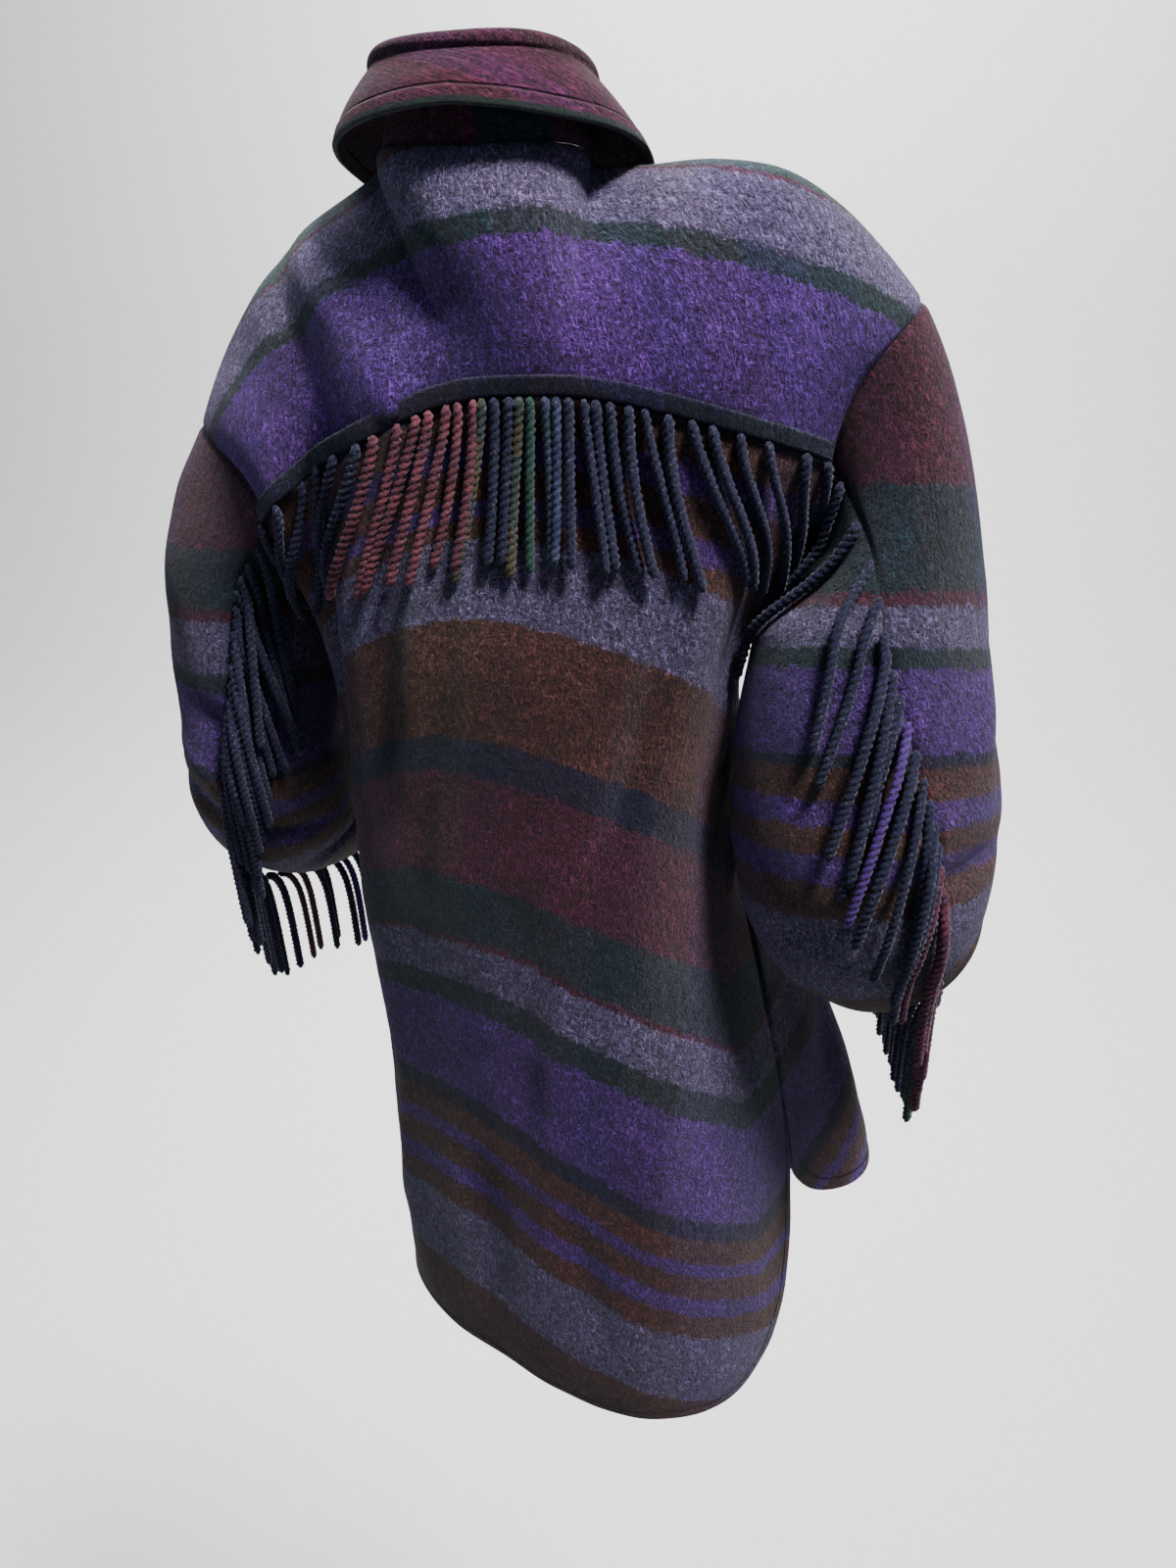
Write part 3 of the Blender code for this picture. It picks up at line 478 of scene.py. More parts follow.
# ---------------------------------------------------------------- listed folds
# A soft trough (or a ridge, where depth is below nothing): its middle, its lean from
# straight down in degrees, its length and half width, and its depth, all in metres.
Crease = namedtuple("Crease", "angle down lean length width depth")
TRUNK_CREASES = [Crease(*row) for row in (
    (22, 0.30, 4, 0.38, 0.018, 0.0080),
    (36, 0.20, -4, 0.30, 0.015, 0.0090),
    (29, 0.16, -2, 0.26, 0.013, -0.0050),
    (-14, 0.42, -6, 0.40, 0.020, 0.0045),
    (-38, 0.24, 10, 0.28, 0.016, 0.0070),
    (-24, 0.52, 8, 0.30, 0.015, -0.0045),
    (44, 0.55, -8, 0.34, 0.018, 0.0110),
    (34, 0.66, 6, 0.24, 0.016, -0.0050),
    (-50, 0.56, 12, 0.26, 0.018, -0.0060),
    (2, 0.66, 3, 0.26, 0.024, 0.0050),
    (-30, 0.70, -5, 0.22, 0.016, 0.0055),
    (-78, 0.26, 20, 0.16, 0.012, 0.0070),
    (-86, 0.34, 32, 0.13, 0.012, -0.0050),
    (-90, 0.4375, 0, 0.160, 0.0035, 0.0060),
    (90, 0.4375, 0, 0.160, 0.0035, 0.0050),
    (96, 0.24, -24, 0.15, 0.013, 0.0070),
    (132, 0.20, 16, 0.26, 0.018, 0.0070),
    (-134, 0.24, -14, 0.24, 0.017, 0.0065),
    (160, 0.42, 5, 0.36, 0.020, 0.0060),
    (-158, 0.48, -4, 0.32, 0.020, 0.0055),
    (118, 0.52, -9, 0.28, 0.021, -0.0070),
    (-112, 0.60, 8, 0.26, 0.019, 0.0070),
    (52, -0.05, 12, 0.24, 0.014, 0.0110),
    (41, -0.03, -6, 0.20, 0.013, -0.0050),
    (-46, -0.06, -24, 0.12, 0.014, 0.0030),
    (-20, -0.07, 40, 0.10, 0.014, 0.0020),
)]
SLEEVE_CREASES = [Crease(*row) for row in (
    (100, 0.10, 60, 0.14, 0.012, 0.0070),
    (70, 0.17, 72, 0.16, 0.012, 0.0080),
    (84, 0.135, 66, 0.14, 0.011, -0.0050),
    (130, 0.20, 80, 0.14, 0.010, 0.0070),
    (-80, 0.17, 86, 0.15, 0.009, 0.0100),
    (-92, 0.21, 94, 0.14, 0.009, 0.0090),
    (-70, 0.25, 82, 0.13, 0.009, 0.0080),
    (20, 0.08, 26, 0.17, 0.014, 0.0060),
    (40, 0.06, 34, 0.15, 0.012, -0.0040),
    (-30, 0.11, -38, 0.15, 0.013, 0.0060),
    (40, 0.27, 66, 0.15, 0.011, 0.0065),
    (70, 0.30, 74, 0.13, 0.010, 0.0060),
    (-150, 0.09, -55, 0.13, 0.012, 0.0060),
    (-10, 0.30, 70, 0.11, 0.010, 0.0050),
    (170, 0.28, 76, 0.12, 0.010, 0.0060),
)]
TRUNK_DEGREE = 0.0032     # metres of cloth in a degree round the body
SLEEVE_DEGREE = 0.0014


def crease_depth(creases, degree, angle, down):
    """How far in the folds lie at a place of the cloth."""
    depth = 0.0
    for crease in creases:
        turn = (angle - crease.angle + 180.0) % 360.0 - 180.0
        x = turn * degree
        y = down - crease.down
        lean = math.radians(crease.lean)
        along = (y * math.cos(lean) + x * math.sin(lean)) / (crease.length / 2)
        if abs(along) < 1:
            across = (x * math.cos(lean) - y * math.sin(lean)) / crease.width
            depth += crease.depth * (1 - along * along) ** 2 * math.exp(-across * across)
    return depth


def unevenness(point):
    """The soft waviness of thick cloth, broad and then finer, in metres."""
    broad = noise.noise(point * 8.0)
    finer = noise.noise(point * 24.0 + Vector((5, 3, 1)))
    return 0.0034 * broad + 0.0014 * finer


# ---------------------------------------------------------------- panels
# A grid of points with, for each, its place on the flat cloth (across, down), its distance
# from the hem and how far folds lift it. flip turns the faces over, and edges says which
# borders are seams and which are free.
Panel = namedtuple("Panel", "points cloth rims lifts flip edges")
FAR = 1.0                 # a distance from the edge that stands for none
ALL_FREE = {"free": "top bottom start end"}


STRIPE_SAG = (0.033, 0.021, 0.0, -0.018, -0.022, -0.006, 0.0)   # right side seam to left
SAG_BY = 0.2              # how far down the cloth it has grown whole


def stripe_sag(across):
    """How much lower the stripes hang there than level rows, once the cloth hangs free."""
    place = (across + 1) * (len(STRIPE_SAG) - 1) / 2
    return row_between([(value,) for value in STRIPE_SAG], place)[0]


def trunk_stripe(angle, down):
    """Distance down the flat cloth from the yoke seam."""
    hung = side_drop(angle) * (math.exp(-max(down, 0.0) / DROP_FADE) - 1)
    across = math.copysign(way_round(angle) / 90, angle)
    return down + hung - stripe_sag(across) * smooth(down / SAG_BY)


def hem_distance(angle, down):
    """Distance of the cloth from the hem's curve."""
    slope = (hem_down(angle + 0.5) - hem_down(angle - 0.5)) / TRUNK_DEGREE
    return (hem_down(angle) - down) / math.sqrt(1 + slope * slope)


def reach_up(columns):
    """Distance up from the last row to each row, one list per column."""
    return [reach_along(column[::-1])[::-1] for column in columns]


def middle_one(values):
    """Index of the value nearest to nothing."""
    return min(range(len(values)), key=lambda i: abs(values[i]))


def no_rims(points):
    return [[FAR] * len(row) for row in points]


def trunk_panel(acrosses, back, upper, lower, flip, edges):
    """A back, yoke or front from its rows above and below the yoke seam's level."""
    rows = []
    places = []
    for up in upper:
        rows.append([upper_point(across, up, back) for across in acrosses])
        places.append([(upper_angle(across, back), -up * YOKE_DEPTH) for across in acrosses])
    for row in lower:
        spots = [below_place(across, row, back) for across in acrosses]
        rows.append([body_point(angle, down) for angle, down in spots])
        places.append(spots)
    centre = middle_one(acrosses)
    level = len(upper) if lower else len(upper) - 1
    cloth = []
    rims = []
    lifts = []
    heights = reach_up(list(zip(*rows[:level + 1]))) if upper else None
    for r, (points, spots) in enumerate(zip(rows, places)):
        reach = reach_along(points)
        above = upper and r < level
        cloth.append([(reach[c] - reach[centre], -heights[c][r] if above else trunk_stripe(*spot))
                      for c, spot in enumerate(spots)])
        rims.append([FAR if above else hem_distance(*spot) for spot in spots])
        lifts.append([unevenness(point) - crease_depth(TRUNK_CREASES, TRUNK_DEGREE, *spot)
                      for point, spot in zip(points, spots)])
    return Panel(rows, cloth, rims, lifts, flip, edges)


STRIPES_TRUE_AT = 75.0    # degrees round the arm, where the sleeve's stripes are measured
HEAD_FADE = 0.5           # of the sleeve's head, over which its folds begin


def sleeve_lengths(side):
    """Distance down the back of the sleeve at each position, 0 at the first ring."""
    ringed = [position for position in SLEEVE_POSITIONS if position >= 1]
    reach = reach_along([sleeve_ring_point(side, position - 1, STRIPES_TRUE_AT) for position in ringed])
    return dict(zip(ringed, reach))


def sleeve_panel(side, columns):
    lengths = sleeve_lengths(side)
    middle, _, _, _, way = arm_frame(side, 0.0)
    rows = []
    cloth = []
    lifts = []
    for position in SLEEVE_POSITIONS:
        points = [sleeve_point(side, start, angle, position) for start, angle in columns]
        rows.append(points)
        reach = reach_along(points)
        row = []
        for c, (point, (_, angle)) in enumerate(zip(points, columns)):
            down = lengths[position] if position >= 1 else (point - middle).dot(way)
            row.append((reach[c], down))
        cloth.append(row)
        fade = smooth(position / HEAD_FADE)
        lifts.append([unevenness(point) - fade * crease_depth(SLEEVE_CREASES, SLEEVE_DEGREE, angle, spot[1])
                      for point, (_, angle), spot in zip(points, columns, row)])
    return Panel(rows, cloth, no_rims(rows), lifts, side > 0, {"seams": "top bottom start end"})


def trunk_panels():
    panels = {
        "back": trunk_panel(WHOLE_WIDTH, True, [], TRUNK_ROWS, False,
                            {"seams": "top start end", "free": "bottom"}),
        "back_yoke": trunk_panel(WHOLE_WIDTH, True, UPS, [], False, {"seams": "top bottom start end"}),
    }
    for word, side in SIDES:
        panels[f"front_{word}"] = trunk_panel([share * side for share in SHARES], False, UPS, TRUNK_ROWS[1:],
                                              side > 0, {"seams": "top end", "free": "bottom start"})
    return panels


def armhole(side, back):
    """The armhole's edge, from the shoulder point down to the underarm."""
    return ([upper_point(side, up, back) for up in UPS]
            + [below_point(side, row, back) for row in ARMHOLE_ROWS[1:]])


def sleeve_columns(side):
    """Armhole points and angles of the top sleeve and the under sleeve."""
    back, front = armhole(side, True), armhole(side, False)
    back = list(zip(back, angles_along(back)))
    front = [(point, -angle) for point, angle in zip(front, angles_along(front))]
    level = len(UPS) - 1
    under_front = [(point, 360 + angle) for point, angle in front[level:-1]]
    return {"top": front[level:0:-1] + back[:level + 1], "under": back[level:] + under_front[::-1]}


def stand_panel():
    quarter = [90.0 * min(share / NECK_SHARE, 1.0) for share in SHARES if share <= NECK_SHARE + 1e-6]
    angles = sorted({round(side * angle, 5) for turn in quarter for angle in (turn, 180.0 - turn)
                     for side in (1, -1)})
    ups = with_steps(spread(0.0, 1.0, 12), ((0.0, STAND_HEIGHT),))[::-1]
    rows = [[stand_point(angle, up) for angle in angles] for up in ups]
    centre = middle_one(angles)
    cloth = []
    for points, up in zip(rows, ups):
        reach = reach_along(points)
        cloth.append([(STAND_HEIGHT * up, reach[c] - reach[centre]) for c in range(len(points))])
    lifts = [[unevenness(point) * 0.4 for point in points] for points in rows]
    return Panel(rows, cloth, no_rims(rows), lifts, False, {"seams": "bottom", "free": "start end"})


def fall_panel():
    outs = (spread(0.0, ROLL_SHARE, 12) + spread(ROLL_SHARE, 0.97, 22)[1:]
            + [0.98, 0.987, 0.993, 0.997, 1.0])
    angles = with_steps(spread(-FALL_END, FALL_END, 110), ((FALL_END, 0.09), (-FALL_END, 0.09)))
    rows = [[fall_point(angle, out) for angle in angles] for out in outs]
    cloth = []
    rims = []
    lifts = []
    columns = [reach_along(column) for column in zip(*rows)]
    for r, points in enumerate(rows):
        reach = reach_along(points)
        cloth.append([(reach[c], columns[c][r]) for c in range(len(points))])
        rims.append([columns[c][-1] - columns[c][r] for c in range(len(points))])
        lifts.append([unevenness(point) * 0.8 for point in points])
    return Panel(rows, cloth, rims, lifts, False, ALL_FREE)


# ---------------------------------------------------------------- shells
SEAM_DEPTH = 0.0022       # of the ditch that a seam draws into the cloth
SEAM_WIDTH = 0.0030
HEM_WIDTH = 0.0105        # edge to stitch line
HEM_STEP = 0.001          # over which the turned cloth begins
HEM_SWELL = 0.0007        # of the turned cloth there


def quad_crosses(points):
    """Twice each quad's area, along its facing."""
    return np.cross(points[1:, 1:] - points[:-1, :-1], points[1:, :-1] - points[:-1, 1:])


def quad_ways(points, flip):
    """Sum of the facing of the quads round each point."""
    ways = np.zeros_like(points)
    area = quad_crosses(points)
    if flip:
        area = -area
    ways[:-1, :-1] += area
    ways[:-1, 1:] += area
    ways[1:, 1:] += area
    ways[1:, :-1] += area
    return ways


def unit(ways):
    return ways / np.maximum(np.linalg.norm(ways, axis=-1, keepdims=True), 1e-12)


def border_of(rows, columns):
    return ([(r, 0) for r in range(rows)] + [(rows - 1, c) for c in range(1, columns)]
            + [(r, columns - 1) for r in range(rows - 2, -1, -1)]
            + [(0, c) for c in range(columns - 2, 0, -1)])


def shared_ways(panels):
    """Each panel's outward ways, the same on both sides of every seam."""
    ways = {}
    met = defaultdict(lambda: np.zeros(3))
    for name, panel in panels.items():
        points = np.array(panel.points)
        ways[name] = unit(quad_ways(points, panel.flip))
        for r, c in border_of(*points.shape[:2]):
            met[tuple(np.round(points[r, c], 5))] += ways[name][r, c]
    for name, panel in panels.items():
        points = np.array(panel.points)
        for r, c in border_of(*points.shape[:2]):
            ways[name][r, c] = unit(met[tuple(np.round(points[r, c], 5))])
    return ways


def from_border(points, border):
    """Each point's distance from one border, along the grid."""
    if border in ("start", "end"):
        points = np.swapaxes(points, 0, 1)
    if border in ("bottom", "end"):
        points = points[::-1]
    steps = np.linalg.norm(np.diff(points, axis=0), axis=-1)
    reach = np.concatenate([np.zeros((1, points.shape[1])), np.cumsum(steps, axis=0)])
    if border in ("bottom", "end"):
        reach = reach[::-1]
    return np.swapaxes(reach, 0, 1) if border in ("start", "end") else reach


def rounding(distance, thickness):
    """How far a rounded edge falls away from the surface near its border."""
    radius = thickness / 2
    k = np.clip(1 - distance / radius, 0, 1)
    return radius * (1 - np.sqrt(np.maximum(1 - k * k, 0))) * 0.96


def build_shell(name, panel, ways, thickness, finish):
    """A closed cloth shell from a panel, its inside a thickness behind its outside."""
    points = np.array(panel.points)
    rows, columns = points.shape[:2]
    rims = np.array(panel.rims)
    hem = HEM_SWELL * np.clip((HEM_WIDTH - rims) / HEM_STEP, 0, 1)
    outer = np.array(panel.lifts) + hem
    inner = np.array(panel.lifts) - thickness - hem
    for border in panel.edges.get("seams", "").split():
        ditch = SEAM_DEPTH * np.exp(-(from_border(points, border) / SEAM_WIDTH) ** 2)
        outer = outer - ditch
    for border in panel.edges.get("free", "").split():
        drop = rounding(from_border(points, border), thickness)
        outer = outer - drop
        inner = inner + drop
    outer = points + ways * outer[..., None]
    inner = points + ways * inner[..., None]
    count = rows * columns
    order = np.arange(count).reshape(rows, columns)
    corners = [order[:-1, :-1], order[:-1, 1:], order[1:, 1:], order[1:, :-1]]
    quads = np.stack(corners, axis=-1).reshape(-1, 4)
    rim = [r * columns + c for r, c in border_of(rows, columns)]
    walls = [(a, a + count, b + count, b) for a, b in zip(rim, rim[1:] + rim[:1])]
    faces = np.concatenate([quads, quads[:, ::-1] + count, np.array(walls)[:, ::-1]])
    if panel.flip:
        faces = faces[:, ::-1]
    piece = add_piece(name, np.concatenate([outer.reshape(-1, 3), inner.reshape(-1, 3)]), faces, finish)
    cloth = np.array(panel.cloth)
    for layer, values in (("cloth", cloth), ("rim", np.dstack([cloth[..., 0], rims]))):
        flat = values.reshape(-1, 2)
        put_uv(piece, layer, np.concatenate([flat, flat]), faces)
    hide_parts(name)
    return piece


def add_piece(name, points, faces, finish):
    mesh = bpy.data.meshes.new(name + "_look")
    mesh.from_pydata(points.tolist(), [], [list(map(int, face)) for face in faces])
    mesh.update()
    mesh.polygons.foreach_set("use_smooth", [True] * len(mesh.polygons))
    piece = bpy.data.objects.new(name + "_look", mesh)
    bpy.context.scene.collection.objects.link(piece)
    mesh.materials.append(finish)
    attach(piece, "root")
    return piece


def put_uv(piece, layer, values, faces):
    made = piece.data.uv_layers.new(name=layer)
    corners = np.concatenate([np.asarray(face) for face in faces])
    made.data.foreach_set("uv", values[corners].astype(np.float32).ravel())


# ---------------------------------------------------------------- shader tools
class Wire:
    """A shader socket that can stand in a sum."""

    def __init__(self, finish, socket):
        self.finish = finish
        self.socket = socket

    def maths(self, operation, first, second=0.0):
        return self.finish.node("ShaderNodeMath", {"operation": operation}, {0: first, 1: second})

    def __add__(self, other):
        return self.maths("ADD", self, other)

    def __radd__(self, other):
        return self.maths("ADD", other, self)

    def __sub__(self, other):
        return self.maths("SUBTRACT", self, other)

    def __rsub__(self, other):
        return self.maths("SUBTRACT", other, self)

    def __mul__(self, other):
        return self.maths("MULTIPLY", self, other)

    def __rmul__(self, other):
        return self.maths("MULTIPLY", other, self)

    def __truediv__(self, other):
        return self.maths("DIVIDE", self, other)


class Finish:
    """A material that is put together node by node."""

    def __init__(self, name, constants):
        self.material = bpy.data.materials.new(name)
        self.material.use_nodes = True
        self.tree = self.material.node_tree
        self.shader = self.tree.nodes["Principled BSDF"]
        for socket, value in constants.items():
            self.shader.inputs[socket].default_value = value

    def node(self, kind, settings=None, inputs=None, output=0):
        made = self.tree.nodes.new(kind)
        for key, value in (settings or {}).items():
            if key == "stops":
                self.set_stops(made.color_ramp, value)
            else:
                setattr(made, key, value)
        for key, value in (inputs or {}).items():
            if isinstance(value, Wire):
                self.tree.links.new(value.socket, made.inputs[key])
            else:
                made.inputs[key].default_value = value
        return Wire(self, made.outputs[output])

    def set_stops(self, ramp, stops):
        ramp.interpolation = stops[0]
        while len(ramp.elements) > 1:
            ramp.elements.remove(ramp.elements[0])
        ramp.elements[0].position = stops[1][0][0]
        ramp.elements[0].color = stops[1][0][1]
        for position, colour in stops[1][1:]:
            ramp.elements.new(position).color = colour

    def mix(self, first, second, factor, blend="MIX"):
        return self.node("ShaderNodeMix", {"data_type": "RGBA", "blend_type": blend},
                         {0: factor, 6: first, 7: second}, 2)

    def grain(self, place, scale, detail=2.0, rough=0.6, bend=0.0):
        return self.node("ShaderNodeTexNoise", {}, {"Vector": place, "Scale": scale, "Detail": detail,
                                                     "Roughness": rough, "Distortion": bend}, 0)

    def between(self, value, low, high):
        """0 below low, 1 above high, smooth between."""
        return self.node("ShaderNodeMapRange", {"interpolation_type": "SMOOTHSTEP"},
                         {0: value, 1: low, 2: high, 3: 0.0, 4: 1.0})

    def feed(self, socket, value):
        self.tree.links.new(value.socket, self.shader.inputs[socket])

    def bump(self, strength, distance, height):
        self.feed("Normal", self.node("ShaderNodeBump", {}, {"Strength": strength, "Distance": distance,
                                                             "Height": height}))

    def laid(self, layer):
        """A uv layer, and its two numbers."""
        lay = self.node("ShaderNodeUVMap", {"uv_map": layer})
        return lay, *(self.node("ShaderNodeSeparateXYZ", {}, {0: lay}, axis) for axis in (0, 1))

    def place(self):
        return self.node("ShaderNodeTexCoord", {}, {}, 3)

    def turned(self, place, scale, turn=0.0):
        return self.node("ShaderNodeMapping", {}, {"Vector": place, "Rotation": (0.0, 0.0, turn),
                                                   "Scale": scale})

    def banded(self, stripes, place, start, reach):
        """The stripe's colour at a place on the cloth."""
        return self.node("ShaderNodeValToRGB", {"stops": ("CONSTANT", stripe_stops(stripes, start, reach))},
                         {0: place})


def rgb(code):
    """Linear colour of an #RRGGBB code."""
    parts = [int(code[i:i + 2], 16) / 255 for i in (1, 3, 5)]
    return tuple(v / 12.92 if v <= 0.04045 else ((v + 0.055) / 1.055) ** 2.4 for v in parts) + (1.0,)


# ---------------------------------------------------------------- cloth
PURPLE = rgb("#3C1C60")
LILAC = rgb("#4A4260")
GREEN = rgb("#0B1E26")
BURGUNDY = rgb("#3C0E24")
BROWN = rgb("#3E2018")
NAVY = rgb("#090A26")
TEAL = rgb("#173432")
INK = rgb("#0C0C1C")
BRICK = rgb("#62303A")
MOSS = rgb("#2C3A24")

# A stripe runs from the end of the one before, its end in metres down the flat cloth.
Stripe = namedtuple("Stripe", "colour end")
BACK_STRIPES = (
    Stripe(NAVY, 0.004), Stripe(BROWN, 0.028), Stripe(PURPLE, 0.045), Stripe(BROWN, 0.067),
    Stripe(PURPLE, 0.080), Stripe(BROWN, 0.0945), Stripe(LILAC, 0.1547), Stripe(BROWN, 0.247),
    Stripe(NAVY, 0.2765), Stripe(BURGUNDY, 0.3595), Stripe(GREEN, 0.4115), Stripe(BURGUNDY, 0.4165),
    Stripe(LILAC, 0.4526), Stripe(GREEN, 0.474), Stripe(PURPLE, 0.566), Stripe(NAVY, 0.584),
    Stripe(BROWN, 0.606), Stripe(PURPLE, 0.622), Stripe(BROWN, 0.643), Stripe(PURPLE, 0.662),
    Stripe(BROWN, 0.687), Stripe(LILAC, 0.760), Stripe(BROWN, 0.900),
)
YOKE_STRIPES = (
    Stripe(TEAL, -0.164), Stripe(BURGUNDY, -0.158), Stripe(LILAC, -0.109), Stripe(GREEN, -0.096),
    Stripe(PURPLE, -0.013), Stripe(NAVY, 0.010),
)
FRONT_STRIPES = (
    Stripe(BURGUNDY, -0.205), Stripe(GREEN, -0.152), Stripe(BURGUNDY, -0.147), Stripe(LILAC, -0.110),
    Stripe(GREEN, -0.090), Stripe(PURPLE, -0.002),
) + BACK_STRIPES
SLEEVE_STRIPES_RIGHT = (
    Stripe(BURGUNDY, -0.105), Stripe(GREEN, -0.035), Stripe(BURGUNDY, -0.028), Stripe(LILAC, 0.004),
    Stripe(GREEN, 0.018), Stripe(PURPLE, 0.078), Stripe(NAVY, 0.088), Stripe(BROWN, 0.110),
    Stripe(PURPLE, 0.128), Stripe(BROWN, 0.150), Stripe(PURPLE, 0.166), Stripe(BROWN, 0.190),
    Stripe(LILAC, 0.250), Stripe(BROWN, 0.310), Stripe(NAVY, 0.340), Stripe(BURGUNDY, 0.420),
    Stripe(GREEN, 0.700),
)
SLEEVE_STRIPES_LEFT = (
    Stripe(BURGUNDY, -0.050), Stripe(GREEN, 0.000), Stripe(BURGUNDY, 0.006), Stripe(LILAC, 0.050),
    Stripe(GREEN, 0.065), Stripe(PURPLE, 0.130), Stripe(NAVY, 0.140), Stripe(BROWN, 0.162),
    Stripe(PURPLE, 0.178), Stripe(BROWN, 0.200), Stripe(PURPLE, 0.216), Stripe(BROWN, 0.240),
    Stripe(LILAC, 0.300), Stripe(BROWN, 0.360), Stripe(NAVY, 0.700),
)
STAND_STRIPES = (
    Stripe(BURGUNDY, -0.060), Stripe(GREEN, -0.014), Stripe(BURGUNDY, 0.200),
)
FALL_STRIPES = (Stripe(NAVY, 0.004), Stripe(BURGUNDY, 0.100), )
NAVY_CLOTH = (Stripe(NAVY, 1.0),)
# Warp bands: what shows through across the cloth, repeated.
WARP = (Stripe(BROWN, 0.045), Stripe(NAVY, 0.085), Stripe(BURGUNDY, 0.160), Stripe(INK, 0.190),
        Stripe(MOSS, 0.250), Stripe(NAVY, 0.290), Stripe(PURPLE, 0.340))
WARP_SHARE = 0.13
WARP_REPEAT = 0.340
STRIPE_START = -0.300     # where the stripes' ramp begins, and
STRIPE_REACH = 1.200      # how much cloth it covers


def stripe_stops(stripes, start, reach):
    """Ramp stops, each at its stripe's beginning."""
    stops = []
    position = 0.0
    for stripe in stripes:
        stops.append((position, stripe.colour))
        position = min(max((stripe.end - start) / reach, 0.0), 1.0)
    return stops


FIBRE = {"Specular IOR Level": 0.25, "Sheen Weight": 0.10, "Sheen Roughness": 0.40,
         "Sheen Tint": (0.80, 0.80, 0.95, 1.0)}
BLACK = (0.0, 0.0, 0.0, 1.0)
FEATHER_FLUFF = 0.016     # metres that the stripes' edges stray with the fluff, and
FEATHER_TUFT = 0.010      # with the tufts
WARP_STRAY = 0.02
LIT_TIMES = (5.0, 5.0, 5.0, 1.0)        # partly painted sheen: a fibre as if lit, five times its stripe's colour, which is then mixed with grey heather
HEATHER_GREY = (0.22, 0.20, 0.30, 1.0)
HEATHER_SHARE = 0.07
GAP_SHARE = 0.80          # of black between the fibres, a painted shade
FIBRE_SHARE = 0.72
STRAY_SHARE = 0.80
PATCH_RANGE = (0.82, 0.35)              # least tone of a worn patch, and what is added to it
GROOVE_WIDTH = 0.0016     # of the stitch line, and of the painted shade in its groove
GROOVE_SHADE = 0.45
EDGE_FADE = (0.0046, 0.0034)            # metres from a turned edge, where its colour begins and is whole
NAP_HEIGHT = 0.0034
TWIST_HEIGHT = 0.0012


def wool(name, stripes, warp_offset=0.17, edge=None, shade=1.0):
    """Brushed blanket wool: stripes with feathered edges, warp bands, heather and nap, with painted sheen on
    its pale fibres, painted shade between them and in the stitch groove, and a painted shade over the whole
    panel.
    """
    finish = Finish(name, {"Roughness": 0.92, **FIBRE})
    cloth, across, down = finish.laid("cloth")
    edge_away = finish.laid("rim")[2]
    place = finish.place()
    fluff = finish.grain(place, 400.0, 4.0, 0.75)
    tuft = finish.grain(place, 110.0, 2.0, 0.6)
    patch = finish.grain(place, 22.0, 2.0, 0.5)
    fibres = finish.grain(finish.turned(cloth, (430.0, 160.0, 1.0)), 1.0, 3.0, 0.75, 1.5)
    strays = finish.grain(finish.turned(cloth, (125.0, 560.0, 1.0), 0.9), 1.0, 2.0, 0.6, 2.0)
    feathered = down + (fluff - 0.5) * FEATHER_FLUFF + (tuft - 0.5) * FEATHER_TUFT
    weft = finish.banded(stripes, (feathered - STRIPE_START) / STRIPE_REACH, STRIPE_START, STRIPE_REACH)
    wander = across + warp_offset + (tuft - 0.5) * WARP_STRAY
    repeated = wander.maths("FRACT", wander / WARP_REPEAT)
    warp = finish.banded(WARP, repeated, 0.0, WARP_REPEAT)
    colour = finish.mix(weft, warp, WARP_SHARE)
    # the pale fibres and strays are partly painted sheen, their stripe's colour lit five times over, and
    # partly real grey heather
    lit = finish.mix(colour, LIT_TIMES, 1.0, "MULTIPLY")
    pale = finish.mix(lit, HEATHER_GREY, HEATHER_SHARE)
    # painted shade between the fibres, where the fluff is low
    dark = finish.mix(colour, BLACK, GAP_SHARE)
    colour = finish.mix(colour, dark, finish.between(fluff, 0.55, 0.40))
    colour = finish.mix(colour, pale, finish.between(fibres, 0.52, 0.66) * FIBRE_SHARE)
    colour = finish.mix(colour, pale, finish.between(strays, 0.60, 0.70) * STRAY_SHARE)
    # shade is a painted shade over the whole panel, on top of the random patches
    tone = (finish.between(patch, 0.2, 0.8) * PATCH_RANGE[1] + PATCH_RANGE[0]) * shade
    # painted shade in the stitch line's groove, which the bump also sinks
    from_stitches = edge_away - HEM_WIDTH
    groove = finish.between(from_stitches.maths("ABSOLUTE", from_stitches), GROOVE_WIDTH, 0.0)
    tone = tone * (1.0 - groove * GROOVE_SHADE)
    if edge is not None:
        turned = finish.between(edge_away + (fluff - 0.5) * 0.003, *EDGE_FADE)
        colour = finish.mix(colour, edge, turned)
    grey = finish.node("ShaderNodeCombineColor", {}, {0: tone, 1: tone, 2: tone})
    finish.feed("Base Color", finish.mix(colour, grey, 1.0, "MULTIPLY"))
    finish.bump(1.0, NAP_HEIGHT, fluff * 0.9 + fibres * 0.8 + tuft * 1.2 - groove * 1.4)
    return finish.material


